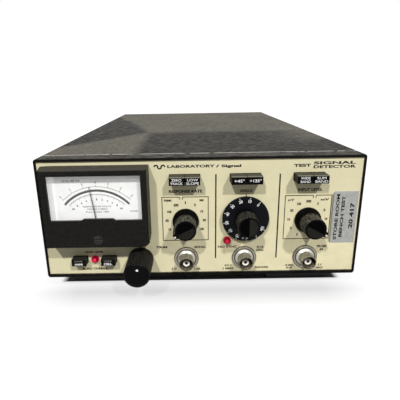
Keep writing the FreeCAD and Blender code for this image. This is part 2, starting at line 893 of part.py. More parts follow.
def bent_path(sketch, corners, bends):
    """Straight runs joined by tangent bends, each bend with its own radius."""
    spots = [FreeCAD.Vector(number(across), number(up), 0) for across, up in corners]
    radii = [number(bend) for bend in bends]
    ends = []
    for before, spot, after, radius in zip(spots, spots[1:], spots[2:], radii):
        back = (before - spot).normalize()
        ahead = (after - spot).normalize()
        ends.append((spot + back * radius, spot + (back + ahead) * radius * (1 - 0.5 ** 0.5),
                     spot + ahead * radius))
    starts = [spots[0]] + [bend[2] for bend in ends]
    stops = [bend[0] for bend in ends] + [spots[-1]]
    for place, (start, stop) in enumerate(zip(starts, stops)):
        sketch.addGeometry(Part.LineSegment(start, stop), False)
        if place < len(ends):
            sketch.addGeometry(Part.Arc(*ends[place]), False)


# Meter
def meter_case():
    """A moulded shell with a window, a raised lip over the pivot and a round drum behind."""
    piece = Piece("meter_case")
    points = [("meter_left", "meter_low"), ("meter_right - meter_chamfer", "meter_low"),
              ("meter_right", "meter_low + meter_chamfer"), ("meter_right", "meter_high"),
              ("meter_left", "meter_high")]
    shell = piece.pad(outline(piece.front("lens_front"), points), "panel_front - lens_front",
                      flip=True)
    drive(shell, TaperAngle="meter_draft")
    piece.pad(circle(piece.front("panel_front"), "pivot_across", "drum_up", "drum_radius"),
              "drum_end - panel_front", flip=True)
    piece.pocket(rectangle(piece.front("lens_front"), "cavity_left", "cavity_low", "cavity_right",
                           "cavity_high"), "scale_back - lens_front")
    piece.pocket(circle(piece.front("scale_back"), "pivot_across", "drum_up",
                        "drum_radius - drum_wall"), "drum_end - drum_wall - scale_back")
    face = outline(piece.front("lens_front"), points)
    outline(face, window_points())
    circle(face, "pivot_across", "zero_up", "zero_radius + zero_play")
    piece.pad(face, "meter_front_wall")
    shape = piece.settle()
    outer = [name for name in edge_names(shape, y=(number("meter_front"),))
             if on_rim(shape.getElement(name).BoundBox)]
    piece.dress("Fillet", "meter_round", outer)


def window_points():
    top = "window_low + bump_height"
    return [("window_left", "window_low"), ("bump_left - bump_slope", "window_low"),
            ("bump_left", top), ("bump_right", top), ("bump_right + bump_slope", "window_low"),
            ("window_right", "window_low"), ("window_right", "window_high"),
            ("window_left", "window_high")]


def on_rim(box):
    """Whether an edge of the meter's face belongs to its outer outline."""
    middle = box.Center
    return (middle.x < number("cavity_left") or middle.x > number("cavity_right")
            or middle.z < number("cavity_low") or middle.z > number("cavity_high"))


def meter_inside():
    lens = Piece("meter_window")
    lens.pad(rectangle(lens.front("lens_front"), "window_left - lens_lap", "window_low - lens_lap",
                       "window_right + lens_lap", "window_high + lens_lap"), "lens_thick", flip=True)
    plate = Piece("meter_scale")
    face = rectangle(plate.front("scale_front"), "cavity_left + scale_play",
                     "cavity_low + scale_play", "cavity_right - scale_play",
                     "cavity_high - scale_play")
    circle(face, "pivot_across", "pivot_up", "needle_hole")
    plate.pad(face, "scale_thick", flip=True)
    magnet_back = "drum_end - drum_wall"
    magnet = rod("pivot_across", f"{magnet_back} - magnet_length", "drum_up", "magnet_radius",
                 "magnet_length")
    frame_front = "scale_back + bridge_gap"
    frame = block("pivot_across - bridge_width / 2", frame_front, "pivot_up - bridge_width / 2",
                  "bridge_width", f"{magnet_back} - magnet_length - ({frame_front})",
                  "drum_up - pivot_up + bridge_width")
    bore = rod("pivot_across", frame_front, "pivot_up", "needle_pin + needle_pin_play",
               "needle_pin_depth + bridge_gap")
    seat(cut(joined(magnet, frame), bore), "meter_movement")


def needle():
    """A tapering blade with its hub, tail and pivot pin, built upright about the pivot."""
    piece = Piece("needle", x="pivot_across", z="pivot_up", turn="needle_turn")
    piece.pad(outline(piece.front("needle_front"), [
        ("-needle_root", "-needle_tail"), ("needle_root", "-needle_tail"),
        ("needle_tip", "needle_reach"), ("-needle_tip", "needle_reach")]),
        "needle_thick", flip=True)
    piece.pad(circle(piece.front("needle_front"), "0", "0", "needle_hub"), "needle_thick", flip=True)
    piece.pad(circle(piece.front("needle_front"), "0", "0", "needle_pin"),
              "scale_back + bridge_gap + needle_pin_depth - needle_front", flip=True)


def zero_adjust_screw():
    piece = Piece("zero_adjust_screw", x="pivot_across", z="zero_up")
    head = "meter_front + zero_sink"
    piece.turned([("0", head), ("zero_radius", head), ("zero_radius", "lens_front"),
                  ("zero_stem", "lens_front"), ("zero_stem", "lens_back"), ("0", "lens_back")])
    slot = rectangle(piece.front(head), "-zero_radius", "-zero_slot / 2", "zero_radius",
                     "zero_slot / 2")
    piece.pocket(slot, "zero_slot_depth")


# Push buttons
def button(label, across, up, width, height, reach):
    """A moulded cap with soft edges and a square stem that runs in the switch."""
    piece = Piece(label, x=across, z=up)
    face = f"panel_front - {reach}"
    piece.pad(rectangle(piece.front("button_root_back"), f"-{width} / 2", f"-{height} / 2",
                        f"{width} / 2", f"{height} / 2"), f"button_root_back - ({face})")
    piece.pad(rectangle(piece.front("button_root_back"), "-stem_size / 2", "-stem_size / 2",
                        "stem_size / 2", "stem_size / 2"), "stem_length", flip=True)
    shape = piece.settle()
    piece.dress("Fillet", "button_round", edge_names(shape, y=(number(face),)))


def buttons():
    for count, pair in enumerate(BUTTON_PAIRS, 1):
        for place, offset in enumerate(PAIR_PLACES, 1):
            button(f"button_{count}_{place}", f"{pair} {offset}", "button_up", "button_width",
                   "button_height", "button_reach")
    for label, across in (("line_button", "line_across"), ("battery_button", "battery_across")):
        button(label, across, "power_row_up", "power_cap_width", "power_cap_height",
               "power_cap_reach")


def switch_body(across, up, half_width, half_height, stems):
    """A switch housing on the panel's back: a well for the caps and a guide for each stem."""
    wide = f"({half_width} + button_play)"
    tall = f"({half_height} + button_play)"
    outer = block(f"{across} - {wide} - switch_wall", "panel_back", f"{up} - {tall} - switch_wall",
                  f"({wide} + switch_wall) * 2", "control_front - panel_back",
                  f"({tall} + switch_wall) * 2")
    well = block(f"{across} - {wide}", "panel_back", f"{up} - {tall}", f"{wide} * 2",
                 "switch_floor - panel_back", f"{tall} * 2")
    guide = "(stem_size + button_play * 2)"
    guides = [block(f"{across} {offset} - {guide} / 2", "panel_back", f"{up} - {guide} / 2", guide,
                    "stem_end + button_travel + stop_play - panel_back", guide)
              for offset in stems]
    return cut(outer, joined(well, *guides))


def push_switches():
    pairs = [switch_body(pair, "button_up", "(button_width + button_gap / 2)",
                         "button_height / 2", PAIR_PLACES) for pair in BUTTON_PAIRS]
    singles = [switch_body(across, "power_row_up", "power_cap_width / 2", "power_cap_height / 2",
                           ("+ 0",)) for across in POWER_BUTTONS]
    seat(group(pairs + singles), "push_switches")


# Lamps
def lamp(label, across, up):
    """A round lamp with a thin collar on the panel and a domed end."""
    piece = Piece(label, x=across, z=up)
    collar = "panel_front - led_collar_thick"
    tip = f"{collar} - led_dome"
    piece.turned([("0", tip), ("led_dome_radius", tip), ("led_dome_radius", collar),
                  ("led_collar", collar), ("led_collar", "panel_front"),
                  ("led_radius", "panel_front"), ("led_radius", "panel_back + led_body"),
                  ("0", "panel_back + led_body")])
    shape = piece.settle()
    piece.dress("Fillet", "led_round", edge_names(shape, y=(number(tip),)))


# Rotary controls
def knob_shell(piece, back, face, crown, skirt, recess, bore):
    """The turned body of a knob, with a well for the nut and a blind bore for the shaft."""
    well = [(recess, "recess_floor"), (recess, back)] if recess else [(bore, back)]
    points = well + skirt + crown + [("0", face), ("0", f"{face} + knob_cap"),
                                     (bore, f"{face} + knob_cap")]
    if recess:
        points.append((bore, "recess_floor"))
    piece.turned(points)


def flat_crown(face):
    """The front edge of a flat-faced knob."""
    return [("knob_face_radius", f"{face} + knob_edge"), ("knob_face_radius - knob_edge", face)]


def ring_of_flutes(piece, centre, radius, count, root, face):
    flute = piece.pocket(circle(piece.front(root), "0", centre, radius), f"{root} - ({face})",
                         flip=True)
    piece.around(flute, count)


def pointer(piece, face, back):
    """The pointer nose, full height, that turns a round knob into an indicating one."""
    nose = outline(piece.front(f"{face} + knob_edge"), [
        ("-nose_root", "nose_start"), ("nose_root", "nose_start"), ("nose_tip", "nose_reach"),
        ("-nose_tip", "nose_reach")])
    piece.pad(nose, f"{back} - ({face}) - knob_edge", flip=True)


def skirt_knob(label, across, up, turn):
    piece = Piece(label, x=across, z=up, turn=turn)
    rim = "knob_back - skirt_rim"
    slope = f"{rim} - skirt_slope"
    knob_shell(piece, "knob_back", "knob_front", flat_crown("knob_front"),
               [("skirt_radius", "knob_back"), ("skirt_radius", rim), ("knob_root_radius", slope)],
               "knob_recess_radius", "bushing_bore")
    ring_of_flutes(piece, "flute_centre", "flute_radius", "flute_count", slope, "knob_front")
    pointer(piece, "knob_front", rim)


def phase_controls():
    knob = Piece("phase_knob", x="column_middle", z="phase_knob_up", turn="phase_turn")
    knob_shell(knob, "dial_front", "phase_front", flat_crown("phase_front"),
               [("knob_root_radius", "dial_front")], None, "bushing_bore")
    foot_ring = "dial_front - knob_foot"
    ring_of_flutes(knob, "flute_centre", "flute_radius", "flute_count", foot_ring, "phase_front")
    pointer(knob, "phase_front", foot_ring)
    dial = Piece("phase_dial", x="column_middle", z="phase_knob_up")
    dial.turned([("bushing_bore", "dial_back"), ("bushing_bore", "dial_front"),
                 ("dial_radius - dial_edge", "dial_front"), ("dial_radius", "dial_front + dial_edge"),
                 ("dial_radius", "dial_back")])


def offset_knob():
    """A ribbed knob with a crowned face."""
    piece = Piece("offset_knob", x="offset_across", z="offset_up")
    crown = [("offset_face_radius", "offset_front + crown_depth"),
             ("offset_face_radius - crown_bend_width", "offset_front + crown_bend_depth"),
             ("offset_face_radius - crown_width", "offset_front")]
    knob_shell(piece, "knob_back", "offset_front", crown, [("offset_radius", "knob_back")],
               "offset_recess_radius", "offset_shaft + shaft_play")
    ring_of_flutes(piece, "offset_radius", "rib_radius", "rib_count", "knob_back - knob_foot",
                   "offset_front")


def shaft(label, across, up, radius, face, depth):
    start = f"{face} + knob_cap + shaft_play"
    length = f"panel_back + {depth} - ({start})"
    seat(group([rod(across, start, up, radius, length)]), label)


def bushing(across, up, radius):
    return rod(across, "panel_front - bushing_reach", up, radius,
               "panel_thick + bushing_reach + nut_thick")


def shaft_bore(across, up, radius, depth):
    start = "panel_front - bushing_reach"
    return rod(across, start, up, radius, f"panel_back + {depth} + stop_play - ({start})")


def rotary_switch(label, across, up):
    """A wafer switch: bushing, detent drum, three wafers, hub and two long bolts."""
    body = [bushing(across, up, "bushing_radius"),
            rod(across, "panel_back", up, "rotor_radius", "detent_depth"),
            rod(across, "panel_back", up, "rotor_hub", "control_front - panel_back")]
    for count in (1, 2, 3):
        body.append(rod(across, f"panel_back + detent_depth + wafer_pitch * {count} - wafer_thick",
                        up, "wafer_radius", "wafer_thick"))
    for side in ("-", "+"):
        body.append(rod(f"{across} {side} wafer_bolt_across", "panel_back", up, "wafer_bolt",
                        "control_front - panel_back"))
    seat(cut(joined(*body), shaft_bore(across, up, "bushing_bore", "shaft_depth")), label)


def potentiometer(label, across, up, neck, radius, depth, bore, bore_depth):
    body = joined(bushing(across, up, neck), rod(across, "panel_back", up, radius, depth))
    seat(cut(body, shaft_bore(across, up, bore, bore_depth)), label)


def control_nuts():
    """Panel nuts: in front under the knobs, behind on the coaxial sockets."""
    nuts = [nut(across, "nut_front", up, "nut_width", "nut_thick", "bushing_radius + shaft_play")
            for across, up in ROTARY]
    nuts.append(nut("offset_across", "nut_front", "offset_up", "offset_nut_width", "nut_thick",
                    "offset_bushing + shaft_play"))
    nuts += [nut(column, "panel_back", "socket_up", "socket_nut_width", "socket_nut_thick",
                 "thread_radius + shaft_play") for column in COLUMNS]
    seat(group(nuts), "control_nuts")


# Coaxial sockets
def connector(label, across):
    """A turned shell with a flange, a threaded neck and two bayonet lugs."""
    piece = Piece(label, x=across, z="socket_up")
    core = "core_radius + core_play"
    piece.turned([
        ("barrel_bore", "barrel_front"), ("barrel_radius - barrel_edge", "barrel_front"),
        ("barrel_radius", "barrel_front + barrel_edge"), ("barrel_radius", "flange_front"),
        ("flange_radius", "flange_front + flange_slope"), ("flange_radius", "washer_front"),
        ("thread_radius", "washer_front"), ("thread_radius", "thread_end"), (core, "thread_end"),
        (core, "barrel_floor"), ("barrel_bore", "barrel_floor")])
    root = "barrel_bore + barrel_edge"
    for side in ("1", "-1"):
        lug = circle(piece.side(f"{side} * ({root})"), "barrel_front + lug_setback", "0", "lug_radius")
        piece.pad(lug, f"lug_reach - ({root})", flip=(side == "-1"))


def connector_inserts():
    """Rimmed washers under the flanges, insulators and hollow contacts."""
    tail = "thread_end + core_tail"
    washers = []
    cores = []
    contacts = []
    for column in COLUMNS:
        bore = rod(column, "flange_front", "socket_up", "thread_radius + shaft_play",
                   "panel_back - flange_front")
        well = rod(column, "rim_front", "socket_up", "washer_radius - rim_width", "rim_height")
        rim = cone(column, "rim_front", "socket_up", "washer_radius - rim_slope", "washer_radius",
                   "rim_height")
        disc = rod(column, "washer_front", "socket_up", "washer_radius", "washer_thick")
        washers.append(cut(joined(disc, rim), joined(bore, well)))
        cores.append(cut(rod(column, "core_front_face", "socket_up", "core_radius",
                             f"{tail} - core_front_face"),
                         rod(column, "barrel_front", "socket_up", "contact_radius + core_play",
                             f"{tail} + contact_tail - barrel_front")))
        contacts.append(cut(rod(column, "core_front_face", "socket_up", "contact_radius",
                                f"{tail} + contact_tail - core_front_face"),
                            rod(column, "barrel_front", "socket_up", "contact_bore",
                                "core_setback + contact_bore_depth")))
    seat(group(washers), "connector_washers")
    seat(group(cores), "connector_insulators")
    seat(group(contacts), "connector_contacts")


# Boards
def boards():
    main = block("board_edge - rail_in", "board_front", "board_low", "(rail_in - board_edge) * 2",
                 "board_end - board_front", "board_thick")
    seat(group([main]), "main_board")
    control = block("control_left", "control_front", "control_low", "control_right - control_left",
                    "board_thick", "control_high - control_low")
    seat(group([control]), "control_board")


def board_components():
    """Rows of chips, a row of reservoir capacitors and a row of relays, all on the board."""
    chips = [block(f"chip_start + chip_pitch * {column}", f"chip_row_start + chip_row_pitch * {row}",
                   "board_top", "chip_length", "chip_width", "chip_height")
             for row in range(int(number("chip_rows"))) for column in range(int(number("chip_columns")))]
    cans = [rod(f"can_start + can_pitch * {place}", "can_row", "board_top", "can_radius",
                "can_height", along="z") for place in range(int(number("can_count")))]
    relays = [block(f"relay_start + relay_pitch * {place}", "relay_row", "board_top", "relay_width",
                    "relay_depth", "relay_height") for place in range(int(number("relay_count")))]
    seat(group(chips + cans + relays), "board_components")


# Power parts
def power_transformer():
    """A laminated core with two feet and a rounded coil standing out in front and behind."""
    piece = Piece("power_transformer")
    piece.pad(rectangle(piece.top("pan_top"), "core_left + coil_margin", "core_front - coil_bulge",
                        "core_left + core_width - coil_margin",
                        "core_front + core_depth + coil_bulge"), "core_height - coil_margin")
    shape = piece.settle()
    piece.dress("Fillet", "coil_round", edge_names(shape, "z"))
    piece.pad(rectangle(piece.top("pan_top"), "core_left", "core_front", "core_left + core_width",
                        "core_front + core_depth"), "core_height")
    piece.pad(rectangle(piece.top("pan_top"), "core_left - core_foot", "core_front",
                        "core_left + core_width + core_foot", "core_front + core_depth"),
              "core_foot_thick")


def battery_parts():
    tray = Piece("battery_tray")
    right = "tray_left + tray_width"
    tray.pad(outline(tray.front("tray_front"), [
        ("tray_left", "pan_top"), (right, "pan_top"), (right, "pan_top + tray_lip"),
        (f"{right} - tray_wall", "pan_top + tray_lip"), (f"{right} - tray_wall", "tray_top"),
        ("tray_left + tray_wall", "tray_top"), ("tray_left + tray_wall", "pan_top + tray_lip"),
        ("tray_left", "pan_top + tray_lip")]), "tray_length", flip=True)
    cell_width = "((tray_width - tray_wall * 2 - cell_play * 3) / 2)"
    cells = []
    for place in (0, 1):
        left = f"(tray_left + tray_wall + cell_play + ({cell_width} + cell_play) * {place})"
        box = block(left, "tray_front", "tray_top", cell_width, "tray_length", "cell_height")
        posts = [block(f"{left} + {cell_width} / 2 {side} post_across / 2 - post_width / 2",
                       "tray_front + tray_wall", "tray_top + cell_height", "post_width",
                       "post_thick", "post_height") for side in ("-", "+")]
        cells.append(joined(box, *posts))
    seat(group(cells), "battery_pack")


# Rear
def mains_inlet():
    """A three-blade inlet: flange, body, shaped well with two cut corners and the blades."""
    piece = Piece("mains_inlet", x="inlet_across", z="inlet_up")
    piece.pad(rectangle(piece.front("rear_face"), "-inlet_flange_width / 2", "-inlet_flange_height / 2",
                        "inlet_flange_width / 2", "inlet_flange_height / 2"),
              "inlet_flange_thick", flip=True)
    piece.pad(rectangle(piece.front("rear_face"), "-inlet_body_width / 2", "-inlet_body_height / 2",
                        "inlet_body_width / 2", "inlet_body_height / 2"), "inlet_body_depth")
    half = "(inlet_body_width / 2 - inlet_wall)"
    rise = "(inlet_body_height / 2 - inlet_wall)"
    well = outline(piece.front("inlet_face"), [
        (f"-{half}", f"-{rise}"), (half, f"-{rise}"), (half, f"{rise} - inlet_corner"),
        (f"{half} - inlet_corner", rise), (f"inlet_corner - {half}", rise),
        (f"-{half}", f"{rise} - inlet_corner")])
    piece.pocket(well, "inlet_socket_depth", flip=True)
    holes = piece.front("inlet_face")
    for _, side in SIDES:
        circle(holes, f"{side} * inlet_screw_across", "0", "screw_radius + screw_play")
    piece.pocket(holes, "inlet_flange_thick", flip=True)
    blades = piece.front("inlet_face - inlet_socket_depth")
    for across, up in (("0", "blade_lift"), ("-blade_across", "-blade_drop"),
                       ("blade_across", "-blade_drop")):
        rectangle(blades, f"{across} - blade_width / 2", f"{up} - blade_height / 2",
                  f"{across} + blade_width / 2", f"{up} + blade_height / 2")
    piece.pad(blades, "blade_length", flip=True)


def fuse_parts():
    holder = Piece("fuse_holder", x="fuse_across", z="fuse_up")
    start = "fuse_face - fuse_length"
    holder.turned([("fuse_bore", "fuse_face"), ("fuse_flange", "fuse_face"),
                   ("fuse_flange", "rear_face"), ("fuse_radius", "rear_face"),
                   ("fuse_radius", start), ("0", start), ("0", f"{start} + fuse_wall"),
                   ("fuse_bore", f"{start} + fuse_wall")])
    cap = Piece("fuse_cap", x="fuse_across", z="fuse_up")
    end = "fuse_face + fuse_cap_reach"
    cap.turned([("0", end), ("fuse_cap_radius - fuse_cap_edge", end),
                ("fuse_cap_radius", f"{end} - fuse_cap_edge"),
                ("fuse_cap_radius", "fuse_face + fuse_cap_gap"),
                ("fuse_stem", "fuse_face + fuse_cap_gap"), ("fuse_stem", "fuse_face - fuse_stem_length"),
                ("0", "fuse_face - fuse_stem_length")])
    slot = rectangle(cap.front(end), "-fuse_cap_radius", "-fuse_slot / 2", "fuse_cap_radius",
                     "fuse_slot / 2")
    cap.pocket(slot, "fuse_slot_depth", flip=True)


def back_screw(across, up, seat_face, length):
    shank = rod(across, f"{seat_face} - {length}", up, "screw_radius", length)
    return joined(shank, rod(across, seat_face, up, "screw_head_radius", "screw_head_thick"))


def case_screws():
    """Pan head screws: six behind, four in the sides and one up through each foot."""
    screws = [back_screw(*place, "rear_face", "rear_screw_length") for place in rear_screw_places()]
    screws += [back_screw(*place, "inlet_face", "inlet_screw_length") for place in inlet_screw_places()]
    grip = "(cover_half - rail_in)"
    for depth in SIDE_SCREWS:
        screws.append(joined(
            rod("rail_in", depth, "side_screw_up", "screw_radius", grip, along="x"),
            rod("cover_half", depth, "side_screw_up", "screw_head_radius", "side_head_thick",
                along="x")))
        screws.append(joined(
            rod("-cover_half", depth, "side_screw_up", "screw_radius", grip, along="x"),
            rod("-cover_half - side_head_thick", depth, "side_screw_up", "screw_head_radius",
                "side_head_thick", along="x")))
    floor = "cover_lift - foot_floor"
    for _, side in SIDES:
        for depth in ("foot_front", "foot_rear"):
            place = (f"{side} * foot_middle", f"{depth} + foot_length / 2")
            screws.append(joined(
                rod(*place, floor, "screw_radius", f"pan_top - ({floor})", along="z"),
                rod(*place, f"{floor} - screw_head_thick", "screw_head_radius", "screw_head_thick",
                    along="z")))
    seat(group(screws), "case_screws")


def build():
    front_bezel()
    front_panel()
    top_cover()
    bottom_cover()
    rear_panel()
    for name, side in SIDES:
        side_rail(name, side)
        foot(f"front_{name}", side, "foot_front", True)
        foot(f"rear_{name}", side, "foot_rear", False)
    tilt_bail()
    meter_case()
    meter_inside()
    needle()
    zero_adjust_screw()
    buttons()
    push_switches()
    lamp("power_led", "power_led_across", "power_row_up")
    lamp("reference_led", "reference_led_across", "reference_led_up")
    skirt_knob("time_constant_knob", "column_left", "time_knob_up", "time_turn")
    skirt_knob("sensitivity_knob", "column_right", "sense_knob_up", "sense_turn")
    phase_controls()
    offset_knob()
    shaft("time_constant_shaft", "column_left", "time_knob_up", "shaft_radius", "knob_front",
          "shaft_depth")
    shaft("sensitivity_shaft", "column_right", "sense_knob_up", "shaft_radius", "knob_front",
          "shaft_depth")
    shaft("phase_shaft", "column_middle", "phase_knob_up", "shaft_radius", "phase_front",
          "shaft_depth")
    shaft("offset_shaft", "offset_across", "offset_up", "offset_shaft", "offset_front",
          "offset_shaft_depth")
    rotary_switch("time_constant_switch", "column_left", "time_knob_up")
    rotary_switch("sensitivity_switch", "column_right", "sense_knob_up")
    potentiometer("phase_potentiometer", "column_middle", "phase_knob_up", "bushing_radius",
                  "pot_radius", "control_front - panel_back", "bushing_bore", "shaft_depth")
    potentiometer("offset_potentiometer", "offset_across", "offset_up", "offset_bushing",
                  "offset_pot_radius", "offset_pot_depth", "offset_shaft + shaft_play",
                  "offset_shaft_depth")
    control_nuts()
    connector("output_connector", "column_left")
    connector("reference_connector", "column_middle")
    connector("input_connector", "column_right")
    connector_inserts()
    boards()
    board_components()
    power_transformer()
    battery_parts()
    mains_inlet()
    fuse_parts()
    case_screws()
    doc.recompute()


def check():
    """Stop if any item failed, if any finished piece is unsound or if a cut removed nothing."""
    for item in doc.Objects:
        if any(word in item.State for word in ("Invalid", "Error")):
            raise RuntimeError(f"{item.Name} ({item.Label}) failed: {item.State}")
        if item.isDerivedFrom("PartDesign::Pocket"):
            removed = item.BaseFeature.Shape.Volume - item.Shape.Volume
            if removed < 0.01:
                raise RuntimeError(f"{item.Name} cuts nothing")
    for item in finished:
        if item.Shape.isNull() or not item.Shape.isValid():
            raise RuntimeError(f"{item.Label} has no sound shape")


def export():
    os.makedirs("parts", exist_ok=True)
    for item in finished:
        item.Shape.exportStep(f"parts/{item.Label}.step")
    whole = Part.makeCompound([item.Shape for item in finished])
    box = whole.BoundBox
    print(f"{len(finished)} pieces, {box.XLength:.1f} x {box.YLength:.1f} x {box.ZLength:.1f} mm")
    print(f"X {box.XMin:.2f} to {box.XMax:.2f}, Y {box.YMin:.2f} to {box.YMax:.2f}, Z {box.ZMin:.2f}")


build()
check()
export()
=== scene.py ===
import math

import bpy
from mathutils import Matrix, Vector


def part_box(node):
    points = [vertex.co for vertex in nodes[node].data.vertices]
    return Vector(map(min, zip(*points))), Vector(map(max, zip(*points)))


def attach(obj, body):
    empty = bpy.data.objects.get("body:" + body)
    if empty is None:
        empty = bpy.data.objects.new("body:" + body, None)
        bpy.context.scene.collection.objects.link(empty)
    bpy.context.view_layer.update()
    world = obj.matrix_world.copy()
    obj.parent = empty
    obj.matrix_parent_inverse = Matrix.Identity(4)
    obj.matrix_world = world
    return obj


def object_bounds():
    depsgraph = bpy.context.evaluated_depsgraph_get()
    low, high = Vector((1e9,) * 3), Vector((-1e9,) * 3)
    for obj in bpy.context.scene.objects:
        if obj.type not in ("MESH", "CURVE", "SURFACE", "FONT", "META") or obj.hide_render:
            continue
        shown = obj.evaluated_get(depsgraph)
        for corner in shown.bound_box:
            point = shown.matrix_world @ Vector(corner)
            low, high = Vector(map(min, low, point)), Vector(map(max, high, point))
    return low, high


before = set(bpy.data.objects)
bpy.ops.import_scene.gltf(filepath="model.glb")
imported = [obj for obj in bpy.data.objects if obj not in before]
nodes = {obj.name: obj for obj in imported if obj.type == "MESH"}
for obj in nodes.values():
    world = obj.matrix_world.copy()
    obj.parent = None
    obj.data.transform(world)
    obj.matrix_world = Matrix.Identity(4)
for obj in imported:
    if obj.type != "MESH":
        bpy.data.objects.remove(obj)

# %% [markdown]
# This file dresses a bench amplifier for the laboratory: a dark steel case, a cream front
# panel with a meter, knobs, push buttons and coaxial sockets.
# The solids of the object are loaded above and stay where they are. Every step below adds
# a finish to one of them, or models a piece that sits on it.

CAD_BOX = [list(corner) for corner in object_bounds()]
print("Object box in metres:", [[round(value, 4) for value in corner] for corner in CAD_BOX])

# %% [markdown]
# Places are easiest to read in millimetres from one corner of the real thing. Here they
# start at the middle of the bezel's lower front edge: X to the right, Y into the case and
# Z up. The bezel's own box gives that point, so a place follows the object if it moves.

# %% Places in millimetres
MM = 0.001
bezel_low, bezel_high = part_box("front_bezel")
START = Vector(((bezel_low.x + bezel_high.x) / 2, bezel_low.y, bezel_low.z))
PANEL_Y = (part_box("front_panel")[0].y - START.y) / MM


def at(x, y, z):
    """A place in the frame, in metres, from millimetres at the bezel's lower front edge."""
    return START + Vector((x, y, z)) * MM


def middle(node):
    """The centre of a solid's box, in millimetres from the same start."""
    low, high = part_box(node)
    return ((low + high) / 2 - START) / MM


print("Panel front lies", round(PANEL_Y, 2), "mm behind the bezel's face")

# %% [markdown]
# Everything on the panel is set out round the shafts of the knobs and the axes of the three
# sockets, so their places are measured once here and used by the finishes and the printing.

# %% Where the controls are
SHAFTS = {name: middle(f"{name}_shaft") for name in ("time_constant", "phase", "sensitivity",
                                                     "offset")}
TIME, PHASE, SENSE, OFFSET = SHAFTS.values()
SOCKETS = [middle(f"{name}_connector") for name in ("output", "reference", "input")]
for name, place in SHAFTS.items():
    print(name, "shaft at X", round(place.x, 2), "and Z", round(place.z, 2))

# %% [markdown]
# The photograph was fitted with one camera. Its picture is 400 pixels square, the middle of
# its lens looks at pixel 188.9 from the left, and its focal length is 384.5 pixels. Three
# small turns aim it. A camera object could be aimed by a constraint, but plain numbers stay
# put when the views are turned later.

# %% Camera
PICTURE = 400
FOCAL = 384.5
LENS_MIDDLE = 188.9
PITCH, YAW, ROLL = 16.94, 0.16, -0.96
CAMERA_PLACE = (-6.9, -246.6, 131.4)

bpy.ops.object.camera_add(location=at(*CAMERA_PLACE))
camera = bpy.context.object
camera.data.lens = FOCAL / PICTURE * camera.data.sensor_width
camera.data.shift_x = (PICTURE / 2 - LENS_MIDDLE) / PICTURE
camera.data.clip_start = 0.01
aim = (Matrix.Rotation(math.radians(ROLL), 3, "Z") @ Matrix.Rotation(math.radians(PITCH), 3, "X")
       @ Matrix.Rotation(math.radians(YAW), 3, "Y") @ Matrix(((1, 0, 0), (0, 0, -1), (0, 1, 0))))
right, down, forward = aim.row
camera.rotation_mode = "QUATERNION"
camera.rotation_quaternion = Matrix((right, -down, -forward)).transposed().to_quaternion()
bpy.context.scene.camera = camera
print("Lens", round(camera.data.lens, 2), "mm")

# %% [markdown]
# The object stands on one wide, flat, white floor. Two small lamps in front, high on the left
# and right, give most of the light and the pairs of pale shadows below the buttons and knobs.
# A dim, even sky fills those shadows. The camera, and whatever is polished or clear, sees the
# sky as plain white, so the background stays white without more light on matt surfaces.

# %% Floor
def new_piece(name):
    """The active object under its name, with its place, turn and size put into its mesh."""
    bpy.ops.object.transform_apply(location=True, rotation=True, scale=True)
    piece = bpy.context.object
    piece.name = name
    piece.data.name = name
    return piece


def clear_selection():
    bpy.ops.object.select_all(action="DESELECT")


clear_selection()
bpy.ops.mesh.primitive_plane_add(size=14, location=(0, 3, 0))
floor = new_piece("floor")
print("Floor", [round(value, 1) for value in floor.dimensions], "m")

# %% Lamps and sky
LAMP_FAR = 4000
LAMP_SIZE = 0.2
LAMP_RISE = 0.97
LAMP_SIDES = {"lamp_left": -0.38, "lamp_right": 0.5}
LAMP_POWER = 88
SKY = 0.22
target = at(0, 0, 40)
for name, side in LAMP_SIDES.items():
    place = target + Vector((side, -1, LAMP_RISE)).normalized() * LAMP_FAR * MM
    bpy.ops.object.light_add(type="AREA", location=place)
    lamp = bpy.context.object
    lamp.name = name
    lamp.data.shape = "DISK"
    lamp.data.size = LAMP_SIZE
    lamp.data.energy = LAMP_POWER
    lamp.rotation_euler = (place - target).to_track_quat("Z", "Y").to_euler()

scene = bpy.context.scene
scene.view_settings.view_transform = "Standard"
sky = bpy.data.worlds.new("soft sky")
scene.world = sky
sky.use_nodes = True
tree = sky.node_tree
ambient = tree.nodes["Background"]
ambient.inputs["Color"].default_value = (0.98, 0.99, 1.0, 1)
ambient.inputs["Strength"].default_value = SKY
backdrop = tree.nodes.new("ShaderNodeBackground")
backdrop.inputs["Color"].default_value = (1, 1, 1, 1)
pick = tree.nodes.new("ShaderNodeMixShader")
tree.links.new(ambient.outputs[0], pick.inputs[1])
tree.links.new(backdrop.outputs[0], pick.inputs[2])
tree.links.new(pick.outputs[0], tree.nodes["World Output"].inputs["Surface"])


def shown_rays(tree):
    """1 for the rays by which the camera, a polished surface or glass sees the backdrop."""
    rays = tree.nodes.new("ShaderNodeLightPath")
    seen = rays.outputs["Is Camera Ray"]
    for kind in ("Is Glossy Ray", "Is Transmission Ray"):
        either = tree.nodes.new("ShaderNodeMath")
        either.operation = "MAXIMUM"
        tree.links.new(seen, either.inputs[0])
        tree.links.new(rays.outputs[kind], either.inputs[1])
        seen = either.outputs[0]
    return seen


tree.links.new(shown_rays(tree), pick.inputs["Fac"])
print("Two lamps of", LAMP_POWER, "W and a soft sky of", SKY)

# %% [markdown]
# A finish is a material whose colour, roughness and relief change over the surface. Nodes
# could be wired one by one, but sums are easier to read as sums. The first class below wraps
# one output of a node, so that adding or multiplying it adds a Math node. The second makes
# any other node in one call.

